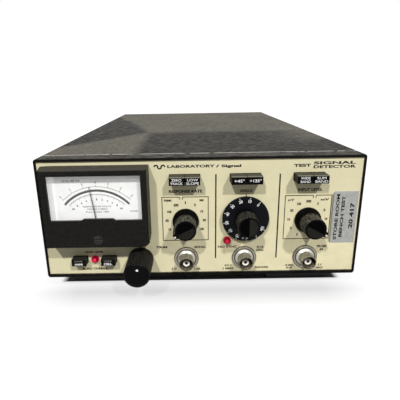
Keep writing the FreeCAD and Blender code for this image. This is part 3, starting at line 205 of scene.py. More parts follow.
# %% Shader sums
class Amount:
    """A number that changes over the surface."""

    def __init__(self, tree, socket):
        self.tree = tree
        self.socket = socket

    def sum(self, operation, first, second):
        node = self.tree.nodes.new("ShaderNodeMath")
        node.operation = operation
        for place, value in enumerate((first, second)):
            if isinstance(value, Amount):
                self.tree.links.new(value.socket, node.inputs[place])
            else:
                node.inputs[place].default_value = value
        return Amount(self.tree, node.outputs[0])

    def __add__(self, other):
        return self.sum("ADD", self, other)

    __radd__ = __add__

    def __mul__(self, other):
        return self.sum("MULTIPLY", self, other)

    __rmul__ = __mul__

    def __sub__(self, other):
        return self.sum("SUBTRACT", self, other)

    def __rsub__(self, other):
        return self.sum("SUBTRACT", other, self)

    def above(self, level):
        """1 where the amount is more than the level, else 0."""
        return self.sum("GREATER_THAN", self, level)


# %% A finish
class Finish:
    """A material on Object coordinates, built with few words."""

    def __init__(self, name, **plain):
        self.material = bpy.data.materials.new(name)
        self.material.use_nodes = True
        self.tree = self.material.node_tree
        self.surface = self.tree.nodes["Principled BSDF"]
        self.place = self.node("ShaderNodeTexCoord").outputs["Object"]
        for socket, value in plain.items():
            self.surface.inputs[socket.replace("_", " ")].default_value = value

    def node(self, kind, settings=None, values=None):
        """One node: its settings first, then the values or links of its sockets."""
        node = self.tree.nodes.new(kind)
        for name, value in (settings or {}).items():
            setattr(node, name, value)
        for name, value in (values or {}).items():
            if isinstance(value, Amount):
                value = value.socket
            if isinstance(value, bpy.types.NodeSocket):
                self.tree.links.new(value, node.inputs[name])
            else:
                node.inputs[name].default_value = value
        return node

    def noise(self, size, detail=3.0, rough=0.5, stretch=(1, 1, 1), move=(0, 0, 0)):
        """Cloudy noise whose patches are about the given size in millimetres."""
        scaled = self.node("ShaderNodeMapping", None, {
            "Vector": self.place, "Scale": stretch, "Location": move})
        node = self.node("ShaderNodeTexNoise", None, {
            "Vector": scaled.outputs["Vector"], "Scale": 1 / (size * MM), "Detail": detail,
            "Roughness": rough})
        return Amount(self.tree, node.outputs["Fac"])

    def step(self, amount, low, high, start=0.0, end=1.0):
        """The amount stretched so that low gives start and high gives end, and kept between."""
        node = self.node("ShaderNodeMapRange", {"clamp": True}, {
            "Value": amount, "From Min": low, "From Max": high, "To Min": start, "To Max": end})
        return Amount(self.tree, node.outputs["Result"])

    def along(self, axis):
        """One coordinate of the place on the object, in metres."""
        node = self.node("ShaderNodeSeparateXYZ", None, {"Vector": self.place})
        return Amount(self.tree, node.outputs[axis])

    def own_facing(self, axis):
        """How much the surface faces along an axis of its own object, from -1 to 1."""
        turned = self.node("ShaderNodeTexCoord").outputs["Normal"]
        node = self.node("ShaderNodeSeparateXYZ", None, {"Vector": turned})
        return Amount(self.tree, node.outputs[axis])

    def radius(self, x, z):
        """The distance from an axis along Y through a place in millimetres."""
        centre = at(x, 0, z)
        wide = self.along("X") - centre.x
        tall = self.along("Z") - centre.z
        square = wide * wide + tall * tall
        return square.sum("SQRT", square, 0)

    def mix(self, mask, first, second):
        """The first colour where the mask is 0 and the second where it is 1."""
        node = self.node("ShaderNodeMix", {"data_type": "RGBA"})
        for place, value in ((0, mask), (6, first), (7, second)):
            if isinstance(value, Amount):
                value = value.socket
            if isinstance(value, bpy.types.NodeSocket):
                self.tree.links.new(value, node.inputs[place])
            else:
                node.inputs[place].default_value = value
        return node.outputs[2]

    def colour(self, socket):
        self.tree.links.new(socket, self.surface.inputs["Base Color"])

    def rough(self, amount):
        self.tree.links.new(amount.socket, self.surface.inputs["Roughness"])

    def relief(self, amount, depth, strength=1.0):
        """Bumps of the given depth in millimetres."""
        node = self.node("ShaderNodeBump", None, {
            "Height": amount, "Distance": depth * MM, "Strength": strength})
        self.tree.links.new(node.outputs["Normal"], self.surface.inputs["Normal"])


def paint(red, green, blue):
    """A colour as a screen shows it, from 0 to 255, in the linear numbers that nodes use."""
    def linear(value):
        value = value / 255
        return value / 12.92 if value <= 0.04045 else ((value + 0.055) / 1.055) ** 2.4
    return (linear(red), linear(green), linear(blue), 1)


def dress(finish, *names):
    """Give CAD nodes a finish, in every material slot that they have."""
    for name in names:
        for place in nodes[name].material_slots:
            place.material = finish.material
    print(finish.material.name, "on", len(names), "nodes")

# %% [markdown]
# The floor is white card. To the camera, and to what is polished or clear, it shines a
# little, so that it reads as white.
# The glow is weaker in a band before the case, which paints a pale grey shadow there, and it
# stops under the bezel, which paints the dark shade in the gap below the case.

# %% White floor
FLOOR_GLOW = 0.9
# BAND and UNDER are glow levels of the painted shadow: just before the bezel and under its lip.
BAND, BAND_FAR, UNDER = 0.66, 28 * MM, 0.86
white = Finish("white floor", Roughness=0.9)
across = white.along("X").sum("ABSOLUTE", white.along("X"), 0)
beside = white.step(across, at(88, 0, 0).x, at(128, 0, 0).x)
clear_of = white.step(across, at(101, 0, 0).x, at(106, 0, 0).x)
ahead = START.y - white.along("Y")
lip = bezel_high.y - bezel_low.y
before = white.step(ahead, -lip - 1 * MM, -lip)
behind = white.step(white.along("Y"), CAD_BOX[1][1] - 40 * MM, CAD_BOX[1][1])
# No glow under the case, which is painted dark shade, and less glow just before it, a painted
# shadow.
painted_shade_under_case = (1 - before) * (1 - clear_of) * (1 - behind)
painted_shadow_fade = white.step(ahead, 2 * MM, BAND_FAR, BAND, 1.0)
below = white.step(ahead, -lip, 0, UNDER, BAND)
level = below.sum("MAXIMUM", below, painted_shadow_fade)
rest = beside.sum("MAXIMUM", beside, behind)
open_floor = (1 - painted_shade_under_case) * (level + (1 - level) * rest)
card = white.step(white.noise(40, 3), 0.3, 0.7)
white.colour(white.mix(card, paint(108, 108, 108), paint(111, 111, 111)))
glow = open_floor * Amount(white.tree, shown_rays(white.tree)) * FLOOR_GLOW
white.surface.inputs["Emission Strength"].default_value = 1.0
white.tree.links.new(white.node("ShaderNodeCombineColor", None, {
    "Red": glow, "Green": glow, "Blue": glow}).outputs["Color"],
    white.surface.inputs["Emission Color"])
floor.data.materials.append(white.material)
print("The floor glows by", FLOOR_GLOW, "in the open")

# %% [markdown]
# The panel is stove enamel: smooth, a little glossy and slightly uneven in tone. Two soft
# noises shift its colour, one over the whole width and one in patches of a few millimetres.

# %% Cream enamel
cream = Finish("cream enamel", Roughness=0.45, Specular_IOR_Level=0.3)
wide = cream.step(cream.noise(60, 1), 0.35, 0.65)
patches = cream.step(cream.noise(7, 4), 0.35, 0.7)
# Painted shade: the enamel is darker towards the left and the top, where less light falls.
to_left = cream.step(cream.along("X"), at(-60, 0, 0).x, at(60, 0, 0).x, 1.0, 0.0)
to_top = cream.step(cream.along("Z"), at(0, 0, 30).z, at(0, 0, 75).z)
painted_shade_left_top = to_left.sum("MAXIMUM", to_left * 0.75, to_top)
base = cream.mix(painted_shade_left_top, paint(240, 230, 190), paint(222, 215, 178))
base = cream.mix(wide * 0.5, base, paint(226, 218, 180))
base = cream.mix(patches * 0.45, base, paint(216, 208, 170))
specks = cream.step(cream.noise(1.1, 5), 0.66, 0.78)
base = cream.mix(specks * 0.45, base, paint(140, 130, 104))
cream.colour(base)
cream.rough(cream.step(patches, 0, 1, 0.4, 0.52))
dress(cream, "front_panel")

# %% [markdown]
# The cover has a dark textured paint that holds dust. Its relief is a fine noise. The dust
# is a paler colour on what faces up: a grain all over. Broad pale patches with a straight edge
# or two are dust and painted light: lit areas whose edges are painted shadow edges, halves of
# the plane cut off by steps.

# %% Dark paint
def dark_paint(name, front, dusty, grain, depth):
    """Textured paint, and the mask of what faces up."""
    finish = Finish(name, Specular_IOR_Level=0.05)
    up = finish.step(finish.own_facing("Z"), 0.4, 0.95)
    coarse = finish.step(finish.noise(3.2, 6, 0.75, (0.6, 1, 1)), 0.42, 0.58)
    base = finish.mix(coarse, paint(*[value * 0.8 for value in front]),
                      paint(*[value * 1.25 for value in front]))
    finish.relief(finish.noise(grain, 3), depth)
    finish.rough(finish.step(coarse, 0, 1, 0.7, 0.5))
    return finish, up, finish.mix(up * (coarse * 0.7 + 0.2), base, paint(*dusty))


cover_paint, up, base = dark_paint("textured cover paint", (38, 36, 33), (62, 60, 55), 0.9, 0.2)
across, deep = cover_paint.along("X"), cover_paint.along("Y")
EDGE = 9 * MM
left_edge, right_edge = at(-40, 0, 0).x, at(58, 0, 0).x
left = cover_paint.step(across, left_edge - EDGE, left_edge, 1.0, 0.0)
slanted = deep - across * 1.5
near = cover_paint.step(slanted, at(0, 200, 0).y, at(0, 215, 0).y, 1.0, 0.0)
far = cover_paint.step(deep, at(0, 122, 0).y, at(0, 142, 0).y)
right_side = cover_paint.step(across, right_edge - EDGE, right_edge + 4 * EDGE) * (
    cover_paint.step(deep, at(0, 50, 0).y, at(0, 95, 0).y))
clouds = cover_paint.step(cover_paint.noise(55, 4, 0.6), 0.35, 0.62)
shadowed = across + (deep - at(0, 135, 0).y) * 0.33
wavy = shadowed + (clouds - 0.5) * 12 * MM
rear = cover_paint.step(wavy, left_edge - EDGE, left_edge) * far * (clouds * 0.3 + 0.6)
# Pale patches: dust together with painted light, lit areas bounded by painted shadow edges.
pale_share = (left * near * 0.85).sum("MAXIMUM", left * near * 0.85, rear)
pale_share = pale_share.sum("MAXIMUM", pale_share, right_side * (clouds * 0.5 + 0.15))
flecks = cover_paint.step(cover_paint.noise(2.0, 4, 0.7), 0.36, 0.62, 0.35, 1.0)
base = cover_paint.mix(up * pale_share * flecks, base, paint(124, 120, 107))
cover_paint.colour(base)
dress(cover_paint, "top_cover", "bottom_cover")

# %% Bezel paint with its worn edge
bezel_paint, up, base = dark_paint("black bezel paint", (16, 14, 12), (86, 83, 76), 0.5, 0.03)
rear_edge = bezel_paint.along("Y").above(bezel_high.y - 1.0 * MM)
dashes = bezel_paint.step(bezel_paint.noise(9, 4, 0.7, (1, 0.2, 0.2)), 0.38, 0.46)
bezel_paint.colour(bezel_paint.mix(rear_edge * dashes * up, base, paint(246, 243, 234)))
dress(bezel_paint, "front_bezel")

# %% [markdown]
# Black mouldings differ in gloss and in how much dust they have caught: the meter housing
# and the push buttons are glossy, the knobs are satin.

# %% Black mouldings
def moulding(name, front, dusty, shine, pale_share=0.7, polish=0.15):
    finish = Finish(name, Specular_IOR_Level=polish)
    up = finish.step(finish.own_facing("Z"), 0.3, 0.95)
    clouds = finish.step(finish.noise(3, 5, 0.65), 0.35, 0.65)
    grain = finish.step(finish.noise(1.4, 4), 0.35, 0.65)
    face = finish.mix(grain, paint(*[value * 0.75 for value in front]),
                      paint(*[value * 1.3 for value in front]))
    finish.colour(finish.mix(up * pale_share * (clouds * 0.5 + 0.5), face, paint(*dusty)))
    finish.rough(finish.step(up * clouds, 0, 1, shine, 0.75))
    return finish


meter_black = moulding("meter moulding", (21, 20, 18), (82, 77, 68), 0.4, 0.7, 0.08)
dress(meter_black, "meter_case")
screw_black = moulding("zero screw moulding", (38, 37, 34), (96, 92, 82), 0.4)
dress(screw_black, "zero_adjust_screw")
dial_black = moulding("dial black", (9, 10, 14), (50, 48, 44), 0.4, 0.3, 0.08)
dress(dial_black, "phase_dial")
button_black = moulding("button black", (6, 6, 6), (84, 81, 68), 0.4, 0.95, 0.05)
buttons = [name for name in nodes if name.startswith("button_")]
# Painted highlight: a pale band across the top of each push button, a little behind its front.
up = button_black.step(button_black.own_facing("Z"), 0.5, 0.95)
near = START.y - button_black.along("Y")
painted_highlight_band = button_black.step(near, 6.2 * MM, 7.6 * MM)
dark = button_black.surface.inputs["Base Color"].links[0].from_socket
button_black.colour(button_black.mix(up * painted_highlight_band, dark, paint(128, 125, 112)))
dress(button_black, *buttons)
power_black = moulding("power button black", (8, 8, 8), (56, 54, 48), 0.4, 0.7, 0.05)
dress(power_black, "line_button", "battery_button")
plain_black = moulding("plain black moulding", (26, 26, 26), (60, 58, 52), 0.45, 0.4, 0.4)
dress(plain_black, "mains_inlet", "fuse_holder", "fuse_cap", "battery_pack", "offset_potentiometer",
      "time_constant_switch", "sensitivity_switch", "phase_potentiometer", "push_switches")

# %% [markdown]
# A knob's flutes have pale streaks, which run along the barrel and stop before its skirt: dust
# in the flutes and a painted sheen on their ribs, paler on the upper side as painted light.
# The face and the skirt are clean. How far a place is from the panel, and which way it faces,
# are all that the pattern needs.

# %% Knob black
KNOB_FACE = 5.7
CLEAN, DUST_AND_SHEEN = paint(5, 5, 6), paint(132, 128, 114)
SKIRT = 6.5


def knob_black(label, pale_share, streak, skirt=SKIRT):
    """The finish of one knob: how pale its streaks are, how they stretch, how deep its skirt."""
    finish = Finish(label, Specular_IOR_Level=0.05)
    ahead = finish.own_facing("Y").sum("ABSOLUTE", finish.own_facing("Y"), 0)
    side = finish.step(ahead, 0.3, 0.6, 1.0, 0.0)
    streaks = finish.step(finish.noise(0.85, 4, 0.7, streak), 0.45, 0.6)
    # Painted light: the streaks are paler where the barrel faces up.
    lit = finish.step(finish.own_facing("Z"), -0.6, 0.6, 0.25, 1.0)
    out = finish.step(START.y - finish.along("Y"), (skirt - 1) * MM, (skirt + 1) * MM)
    dust_and_sheen = side * lit * out * (streaks * 0.75 + 0.12) * pale_share
    finish.colour(finish.mix(dust_and_sheen, CLEAN, DUST_AND_SHEEN))
    finish.rough(finish.step(dust_and_sheen, 0, 0.5, 0.4, 0.7))
    return finish


for name, pale_share in (("time_constant", 0.85), ("phase", 0.45), ("sensitivity", 0.8)):
    dress(knob_black(f"{name} knob black", pale_share, (1, 0.15, 1)), f"{name}_knob")
offset_black = knob_black("offset knob black", 0.16, (1, 0.5, 1), 0)
OFFSET_DOT = (OFFSET.x + 0.6, OFFSET.z + 4.3)
spot = (1 - offset_black.radius(*OFFSET_DOT).above(0.8 * MM)) * (
    0 - offset_black.own_facing("Y")).above(0.9)
dark = offset_black.surface.inputs["Base Color"].links[0].from_socket
offset_black.colour(offset_black.mix(spot, dark, paint(244, 244, 242)))
dress(offset_black, "offset_knob")

# %% [markdown]
# Bare metals: a brushed or rolled metal is a metallic surface whose roughness is drawn out
# along one direction, which a stretched noise gives.

# %% Metals
def metal(name, tint, shine, grain=0.4, stretch=(1, 1, 1), tarnish=0.25):
    finish = Finish(name, Metallic=1.0)
    lines = finish.noise(grain, 4, 0.6, stretch)
    stains = finish.step(finish.noise(9, 4), 0.45, 0.75)
    dull = [value * 0.72 for value in tint]
    finish.colour(finish.mix(stains * tarnish, paint(*tint), paint(*dull)))
    finish.rough(finish.step(lines, 0.3, 0.7, shine, shine + 0.14))
    return finish


aluminium = metal("rolled aluminium", (196, 196, 194), 0.34, 0.5, (0.05, 1, 1))
dress(aluminium, "rear_panel", "side_rail_left", "side_rail_right", "battery_tray")
nickel = metal("nickel plate", (150, 147, 140), 0.3)
dress(nickel, "control_nuts")
zinc = metal("zinc plated steel", (172, 172, 170), 0.36)
dress(zinc, "tilt_bail", "case_screws")
brass = metal("brass", (214, 182, 110), 0.28)
dress(brass, "time_constant_shaft", "sensitivity_shaft", "phase_shaft", "offset_shaft")
dark_brass = metal("tarnished brass", (84, 70, 46), 0.45)
dress(dark_brass, "connector_contacts")
iron = metal("varnished iron", (92, 86, 78), 0.5)
dress(iron, "meter_movement", "power_transformer")

# %% [markdown]
# The sockets are plated too, but worn bright on the cone behind the barrel and brown on the
# barrel's rim. Inside, they are painted black as shade, with a painted lit patch on the lower
# inner wall. The washer is painted dark in its groove and outside its rim, as shade, and light
# on its raised rim, as a painted highlight. Which way a surface faces tells the cone and the
# rim, and its distance from the nearest socket tells the rest.

# %% Sockets and their washers
BORE = 4.3
WASHER_GROOVE = 7.05
WASHER_EDGE = 8.05


def socket_radius(finish):
    near = finish.radius(SOCKETS[0].x, SOCKETS[0].z)
    for place in SOCKETS[1:]:
        near = near.sum("MINIMUM", near, finish.radius(place.x, place.z))
    return near


shell = Finish("socket plating", Metallic=1.0)
reach = socket_radius(shell)
ahead = 0 - shell.own_facing("Y")
socket_front = START.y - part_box("input_connector")[0].y
seen = shell.along("Y").above(START.y - socket_front + 3 * MM)
cone = ahead.above(0.5) * (1 - ahead.above(0.95)) * seen * reach.above(5.25 * MM)
rim = (1 - seen) * ahead.above(0.4)
# Painted shade and light in the bore: black inside it, and a painted lit patch on its upward wall.
inside = 1 - reach.above(BORE * MM)
wall = shell.own_facing("Z").above(0.3)
stains = shell.step(shell.noise(1.8, 5, 0.6), 0.38, 0.66)
tint = shell.mix(stains, paint(206, 204, 194), paint(170, 167, 154))
tint = shell.mix(rim, tint, paint(92, 87, 76))
tint = shell.mix(cone, tint, paint(196, 194, 188))
bore_shade_and_light = shell.mix(wall, paint(14, 13, 12), paint(190, 184, 164))
shell.colour(shell.mix(inside, tint, bore_shade_and_light))
shell.rough(shell.step(cone + stains * 0.2, 0, 1, 0.4, 0.55))
dress(shell, "output_connector", "reference_connector", "input_connector")
washer = Finish("washer plating", Metallic=1.0)
reach = socket_radius(washer)
groove = 1 - reach.above(WASHER_GROOVE * MM)
edge = reach.above(WASHER_EDGE * MM)
stains = washer.step(washer.noise(1.8, 5, 0.6), 0.38, 0.66)
# Painted highlight on the raised rim, and painted shade in the groove and outside the rim.
grey = washer.mix(groove.sum("MAXIMUM", groove, edge), paint(160, 156, 142), paint(88, 84, 72))
washer.colour(washer.mix(stains * 0.5, grey, paint(104, 100, 88)))
washer.rough(washer.step(stains, 0, 1, 0.34, 0.5))
dress(washer, "connector_washers")

# %% Board, rubber, insulator and scale
board = Finish("green laminate", Roughness=0.4)
weave = board.step(board.noise(0.8, 2), 0.35, 0.65)
board.colour(board.mix(weave, paint(52, 96, 62), paint(60, 108, 70)))
dress(board, "main_board", "control_board")
rubber = Finish("black rubber", Roughness=0.8)
bloom = rubber.step(rubber.noise(4, 4), 0.4, 0.7)
rubber.colour(rubber.mix(bloom, paint(30, 30, 29), paint(46, 45, 42)))
dress(rubber, "foot_front_left", "foot_front_right", "foot_rear_left", "foot_rear_right")
insulator = Finish("white insulator", Roughness=0.35)
age = insulator.step(insulator.noise(2, 3), 0.4, 0.7)
# Painted shadow: the insulator is darker on its upper half, where the bore shades it.
painted_shadow_top = insulator.step(insulator.along("Z"), SOCKETS[0].z * MM + START.z - 0.6 * MM,
                       SOCKETS[0].z * MM + START.z + 1.2 * MM)
clean = insulator.mix(age, paint(246, 246, 242), paint(226, 224, 214))
insulator.colour(insulator.mix(painted_shadow_top, clean, paint(120, 117, 110)))
dress(insulator, "connector_insulators")
# Painted light: the card glows a little all over, and more along its left border, which lifts the
# shade of the window's edge.
scale_white = Finish("scale card", Roughness=0.6, Emission_Strength=0.4)
age = scale_white.step(scale_white.noise(20, 3), 0.35, 0.7)
tone = scale_white.mix(age, paint(246, 246, 243), paint(240, 240, 235))
scale_white.colour(tone)
LIGHT_BAND_FROM, LIGHT_BAND_TO = 4.2, 5.4
card_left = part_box("meter_scale")[0].x
painted_light_band = scale_white.step(scale_white.along("X"), card_left + LIGHT_BAND_FROM * MM,
                          card_left + LIGHT_BAND_TO * MM, 1.0, 0.0)
glow = scale_white.mix(painted_light_band, paint(160, 160, 158), paint(232, 232, 230))
scale_white.tree.links.new(glow, scale_white.surface.inputs["Emission Color"])
dress(scale_white, "meter_scale")
needle_black = Finish("needle enamel", Roughness=0.5)
worn = needle_black.step(needle_black.noise(1, 3), 0.5, 0.8)
needle_black.colour(needle_black.mix(worn, paint(28, 28, 30), paint(60, 60, 62)))
dress(needle_black, "needle")

# %% [markdown]
# Chips, reservoir capacitors and relays stand in rows on the board, so one material can
# colour them by their distance from the front: black, silver or pale grey.

# %% Board parts by row
parts = Finish("board parts", Roughness=0.45)
low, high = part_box("board_components")
depth = parts.along("Y")
relay_line = high.y - 17 * MM
can_line = high.y - 45 * MM
is_relay = depth.above(relay_line)
is_can = depth.above(can_line) - is_relay
tone = parts.mix(is_can, paint(28, 28, 30), paint(168, 172, 180))
parts.colour(parts.mix(is_relay, tone, paint(188, 184, 170)))
dress(parts, "board_components")

# %% [markdown]
# The window is clear plastic: nearly all see-through, with a gloss that catches the lamps.
# The two lamps are red plastic that glows a little from inside.

# %% Window and lamps
window = Finish("clear window", Roughness=0.05)
haze = window.step(window.noise(12, 4), 0.35, 0.75, 0.05, 0.11)
window.surface.inputs["Base Color"].default_value = paint(235, 238, 240)
window.tree.links.new(haze.socket, window.surface.inputs["Alpha"])
dress(window, "meter_window")
lens = Finish("red lens", Roughness=0.2)
depth = lens.step(lens.noise(3, 2), 0.3, 0.7)
ahead = lens.step(0 - lens.own_facing("Y"), 0.6, 0.97)
glow = lens.mix(ahead * (depth * 0.3 + 0.7), paint(92, 6, 26), paint(238, 16, 68))
lens.colour(glow)
lens.tree.links.new(glow, lens.surface.inputs["Emission Color"])
lens.surface.inputs["Emission Strength"].default_value = 0.28
lens.surface.inputs["Specular IOR Level"].default_value = 0.15
dress(lens, "power_led", "reference_led")

# %% [markdown]
# The words, numbers and lines on the panel are screen printed: flat ink a few hundredths of
# a millimetre thick. Each is a flat mesh just in front of the paint. Words are text objects
# turned to face the front and changed to meshes, lines are thin planes, and curved lines
# are a short edge swept round its centre. All the pieces of one colour that move together
# are joined into one object.

# %% Printing tools
INK = 0.04
PRINT_Y = PANEL_Y - INK


def select_only(*pieces):
    clear_selection()
    for piece in pieces:
        piece.select_set(True)
    bpy.context.view_layer.objects.active = pieces[0]


def lettering(text, x, z, wide, tall, weight=0.03, y=PRINT_Y, turn=0.0):
    """Words that fill a box of the given width and height, turned clockwise, facing front."""
    clear_selection()
    bpy.ops.object.text_add(location=(0, 0, 0))
    piece = bpy.context.object
    piece.data.body = text
    piece.data.size = tall / (1 + text.count("\n")) * 1.3
    piece.data.align_x = "CENTER"
    piece.data.offset = weight
    piece.data.resolution_u = 3
    bpy.ops.object.convert(target="MESH")
    piece = bpy.context.object
    bpy.ops.object.origin_set(type="ORIGIN_GEOMETRY", center="BOUNDS")
    piece.location = (0, 0, 0)
    piece.scale = (wide * MM / piece.dimensions.x, tall * MM / piece.dimensions.y, 1)
    bpy.ops.object.transform_apply(location=True, rotation=True, scale=True)
    piece.rotation_euler = (math.radians(90), math.radians(turn), 0)
    piece.location = at(x, y, z)
    bpy.ops.object.transform_apply(location=True, rotation=True, scale=True)
    return piece


def bar(x, z, wide, tall, y=PRINT_Y, turn=0.0):
    """A flat bar facing the front."""
    clear_selection()
    bpy.ops.mesh.primitive_plane_add(size=MM, location=at(x, y, z),
                                     rotation=(math.radians(90), math.radians(turn), 0))
    piece = bpy.context.object
    piece.scale = (wide, tall, 1)
    bpy.ops.object.transform_apply(location=True, rotation=True, scale=True)
    return piece


def dot(x, z, radius, y=PRINT_Y, points=28):
    """A flat round dot facing the front."""
    clear_selection()
    bpy.ops.mesh.primitive_circle_add(vertices=points, radius=radius * MM, fill_type="NGON",
                                      location=at(x, y, z), rotation=(math.radians(90), 0, 0))
    bpy.ops.object.transform_apply(location=True, rotation=True, scale=True)
    return bpy.context.object


def arc(x, z, radius, start, end, width, y=PRINT_Y, steps=64):
    """A curved line between two clockwise angles from straight up, in degrees."""
    clear_selection()
    bpy.ops.mesh.primitive_plane_add(size=width * MM, location=at(x, y, z + radius),
                                     rotation=(math.radians(90), 0, 0))
    piece = bpy.context.object
    bpy.ops.object.transform_apply(location=True, rotation=True, scale=True)
    mesh = piece.data
    bpy.ops.object.mode_set(mode="EDIT")
    bpy.ops.mesh.select_all(action="DESELECT")
    bpy.ops.object.mode_set(mode="OBJECT")
    middle_x = sum(corner.co.x for corner in mesh.vertices) / len(mesh.vertices)
    for corner in mesh.vertices:
        corner.select = corner.co.x > middle_x
    bpy.ops.object.mode_set(mode="EDIT")
    bpy.ops.mesh.delete(type="VERT")
    bpy.ops.mesh.select_all(action="SELECT")
    bpy.ops.transform.translate(value=(width * MM / 2, 0, 0))
    bpy.ops.transform.rotate(value=math.radians(-start), orient_axis="Y",
                             center_override=at(x, y, z))
    bpy.ops.mesh.spin(steps=steps, angle=math.radians(start - end), center=at(x, y, z),
                      axis=(0, 1, 0))
    bpy.ops.object.mode_set(mode="OBJECT")
    return piece


def polar(x, z, reach, angle):
    """The place at a distance and clockwise angle from a centre."""
    turn = math.radians(angle)
    return x + reach * math.sin(turn), z + reach * math.cos(turn)


def spoke(x, z, inner, outer, angle, width, y=PRINT_Y):
    """A tick that points away from a centre, at a clockwise angle from straight up."""
    return bar(*polar(x, z, (inner + outer) / 2, angle), width, outer - inner, y, angle)


def printed(name, pieces, ink, body="chassis"):
    """Join printed pieces into one object with one ink, which moves with a body."""
    select_only(*pieces)
    bpy.ops.object.join()
    piece = new_piece(name)
    piece.data.materials.clear()
    piece.data.materials.append(ink.material)
    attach(piece, body)
    print(name, "has", len(piece.data.polygons), "faces")
    return piece


def ink(name, colour, faded, rough=0.6):
    """Printing ink that is a little worn."""
    finish = Finish(name, Roughness=rough, Specular_IOR_Level=0.2)
    wear = finish.step(finish.noise(0.9, 4), 0.5, 0.75)
    finish.colour(finish.mix(wear, paint(*colour), paint(*faded)))
    return finish


black_ink = ink("black ink", (22, 20, 17), (58, 54, 46))
fine_ink = ink("fine black ink", (40, 36, 26), (70, 64, 48))
red_ink = ink("dark red ink", (78, 24, 20), (100, 46, 38))
white_ink = ink("white ink", (236, 236, 234), (196, 196, 192))
grey_ink = ink("worn white ink", (128, 126, 120), (90, 88, 84))

# %% [markdown]
# Each group of controls has a heading, a square line with a gap at the top, and the numbers
# of its positions round the knob, 30 degrees apart. Sizes are read off the photograph, in
# millimetres on the panel.

# %% Panel printing: lines and numbers
NUMBER_REACH = 12.75
SQUARE = 31.2
LINE = 0.55
print_pieces = []
fine_pieces = []


def square_line(left, low, gap):
    """A square line with a gap in its upper side, where two short ticks point down."""
    right, high = left + SQUARE, low + SQUARE
    fine_pieces.extend([
        bar((left + gap) / 2, high, gap - left, LINE),
        bar((gap + 1.8 + right) / 2, high, right - gap - 1.8, LINE),
        bar((left + right) / 2, low, SQUARE + LINE, LINE),
        bar(left, (low + high) / 2, LINE, SQUARE + LINE),
        bar(right, (low + high) / 2, LINE, SQUARE + LINE),
        bar(gap, high - 0.9, LINE, 1.8, turn=8), bar(gap + 1.8, high - 0.9, LINE, 1.8, turn=8)])


square_line(TIME.x - 15.8, 26.9, TIME.x - 3.7)
square_line(SENSE.x - 15.9, 26.75, SENSE.x + 2.9)
DIGIT = 1.05
for centre, names, first in (
        (TIME, ("10", "30", "100", "300", "1", "3", "10", "30", "100"), -120),
        (SENSE, ("1", "3", "10", "30", "100", "300", "1", "3", "10"), -150)):
    for count, text in enumerate(names):
        x, z = polar(centre.x, centre.z + 0.4, NUMBER_REACH, first + 30 * count)
        fine_pieces.append(lettering(text, x, z, DIGIT * (len(text) - 0.5 * text.count("1")) + 0.2,
                                     1.95, 0.14))
for x, low, high in ((10.5, 12.9, 73.5), (53.05, 12.6, 73.2)):
    print_pieces.append(bar(x, (low + high) / 2, 0.95, high - low))
print_pieces.append(bar(PHASE.x + 0.45, 58.9, 0.6, 1.9))

# %% Panel printing: words
for text, x, z, wide, tall, weight in (
        ("RESPONSE RATE", -9.75, 62.1, 22.3, 2.1, 0.12), ("ANGLE", 30.75, 61.9, 8.5, 2.1, 0.12),
        ("INPUT LEVEL", 73.65, 62.0, 16.3, 2.1, 0.12),
        ("LABORATORY", -5.8, 79.1, 31.3, 1.9, 0.1), ("/ Signal", 18.8, 78.75, 16.6, 2.3, 0.14),
        ("TEST", 67.3, 78.5, 11.3, 2.0, 0.12), ("SIGNAL", 88.5, 80.0, 27.8, 2.0, 0.1),
        ("DETECTOR", 88.5, 77.4, 27.8, 2.0, 0.1),
        ("44 Hz\nSYNC", 41.6, 19.8, 5.2, 4.2, 0.11), ("PROBE\nIN", 84.7, 19.6, 6.7, 4.2, 0.11)):
    print_pieces.append(lettering(text, x, z, wide, tall, weight))
for text, x, z, wide, tall in (
        ("msec", -21.8, 55.8, 5.2, 1.6), ("sec", 1.0, 55.7, 3.0, 1.6),
        ("\u00b5V", 61.4, 54.8, 4.2, 1.9), ("mV", 84.05, 54.9, 5.6, 1.7),
        ("TRIM", -27.2, 21.8, 7.8, 1.6), ("SIGNAL", -0.4, 21.6, 7.8, 1.7),
        ("1 V", -18.7, 4.9, 3.6, 1.7), ("5 mA", -2.4, 4.85, 4.6, 1.7),
        ("0.5 V", 19.6, 7.1, 5.2, 1.5),
        ("1 MEG", 19.4, 4.7, 7.4, 1.6), ("SQUARE", 43.2, 5.2, 9.3, 1.6),
        ("10 MEG\n30 pF", 62.9, 5.4, 6.0, 3.9), ("5 V\nMAX", 84.6, 5.45, 4.4, 4.0),
        ("RUN / CHARGE", -75.0, 6.2, 17.4, 1.7)):
    fine_pieces.append(lettering(text, x, z, wide, tall, 0.1))
printed("panel_printing", print_pieces, black_ink)
printed("panel_small_printing", fine_pieces, fine_ink)
printed("panel_printing_red", [lettering("HIGH LEVEL", -74.5, 19.0, 13.0, 1.7, 0.1),
                               lettering("NO SYNC", 18.8, 21.5, 13.2, 1.7, 0.1)], red_ink)

# %% [markdown]
# Left of the title stands a plain wavy mark, made of three half circles in a row.

# %% Wave mark
WAVE = 1.15
mark = []
for count in range(3):
    x = -28.9 + 2 * WAVE * count
    start, end = (-90, 90) if count % 2 == 0 else (90, 270)
    mark.append(arc(x, 78.9, WAVE, start, end, 1.0, steps=16))
printed("wave_mark", mark, black_ink)

# %% [markdown]
# The phase dial is a black disc with white numbers that read from the outside, eleven of
# them over 276 degrees, and a tick at its rim for each. It turns with its knob.

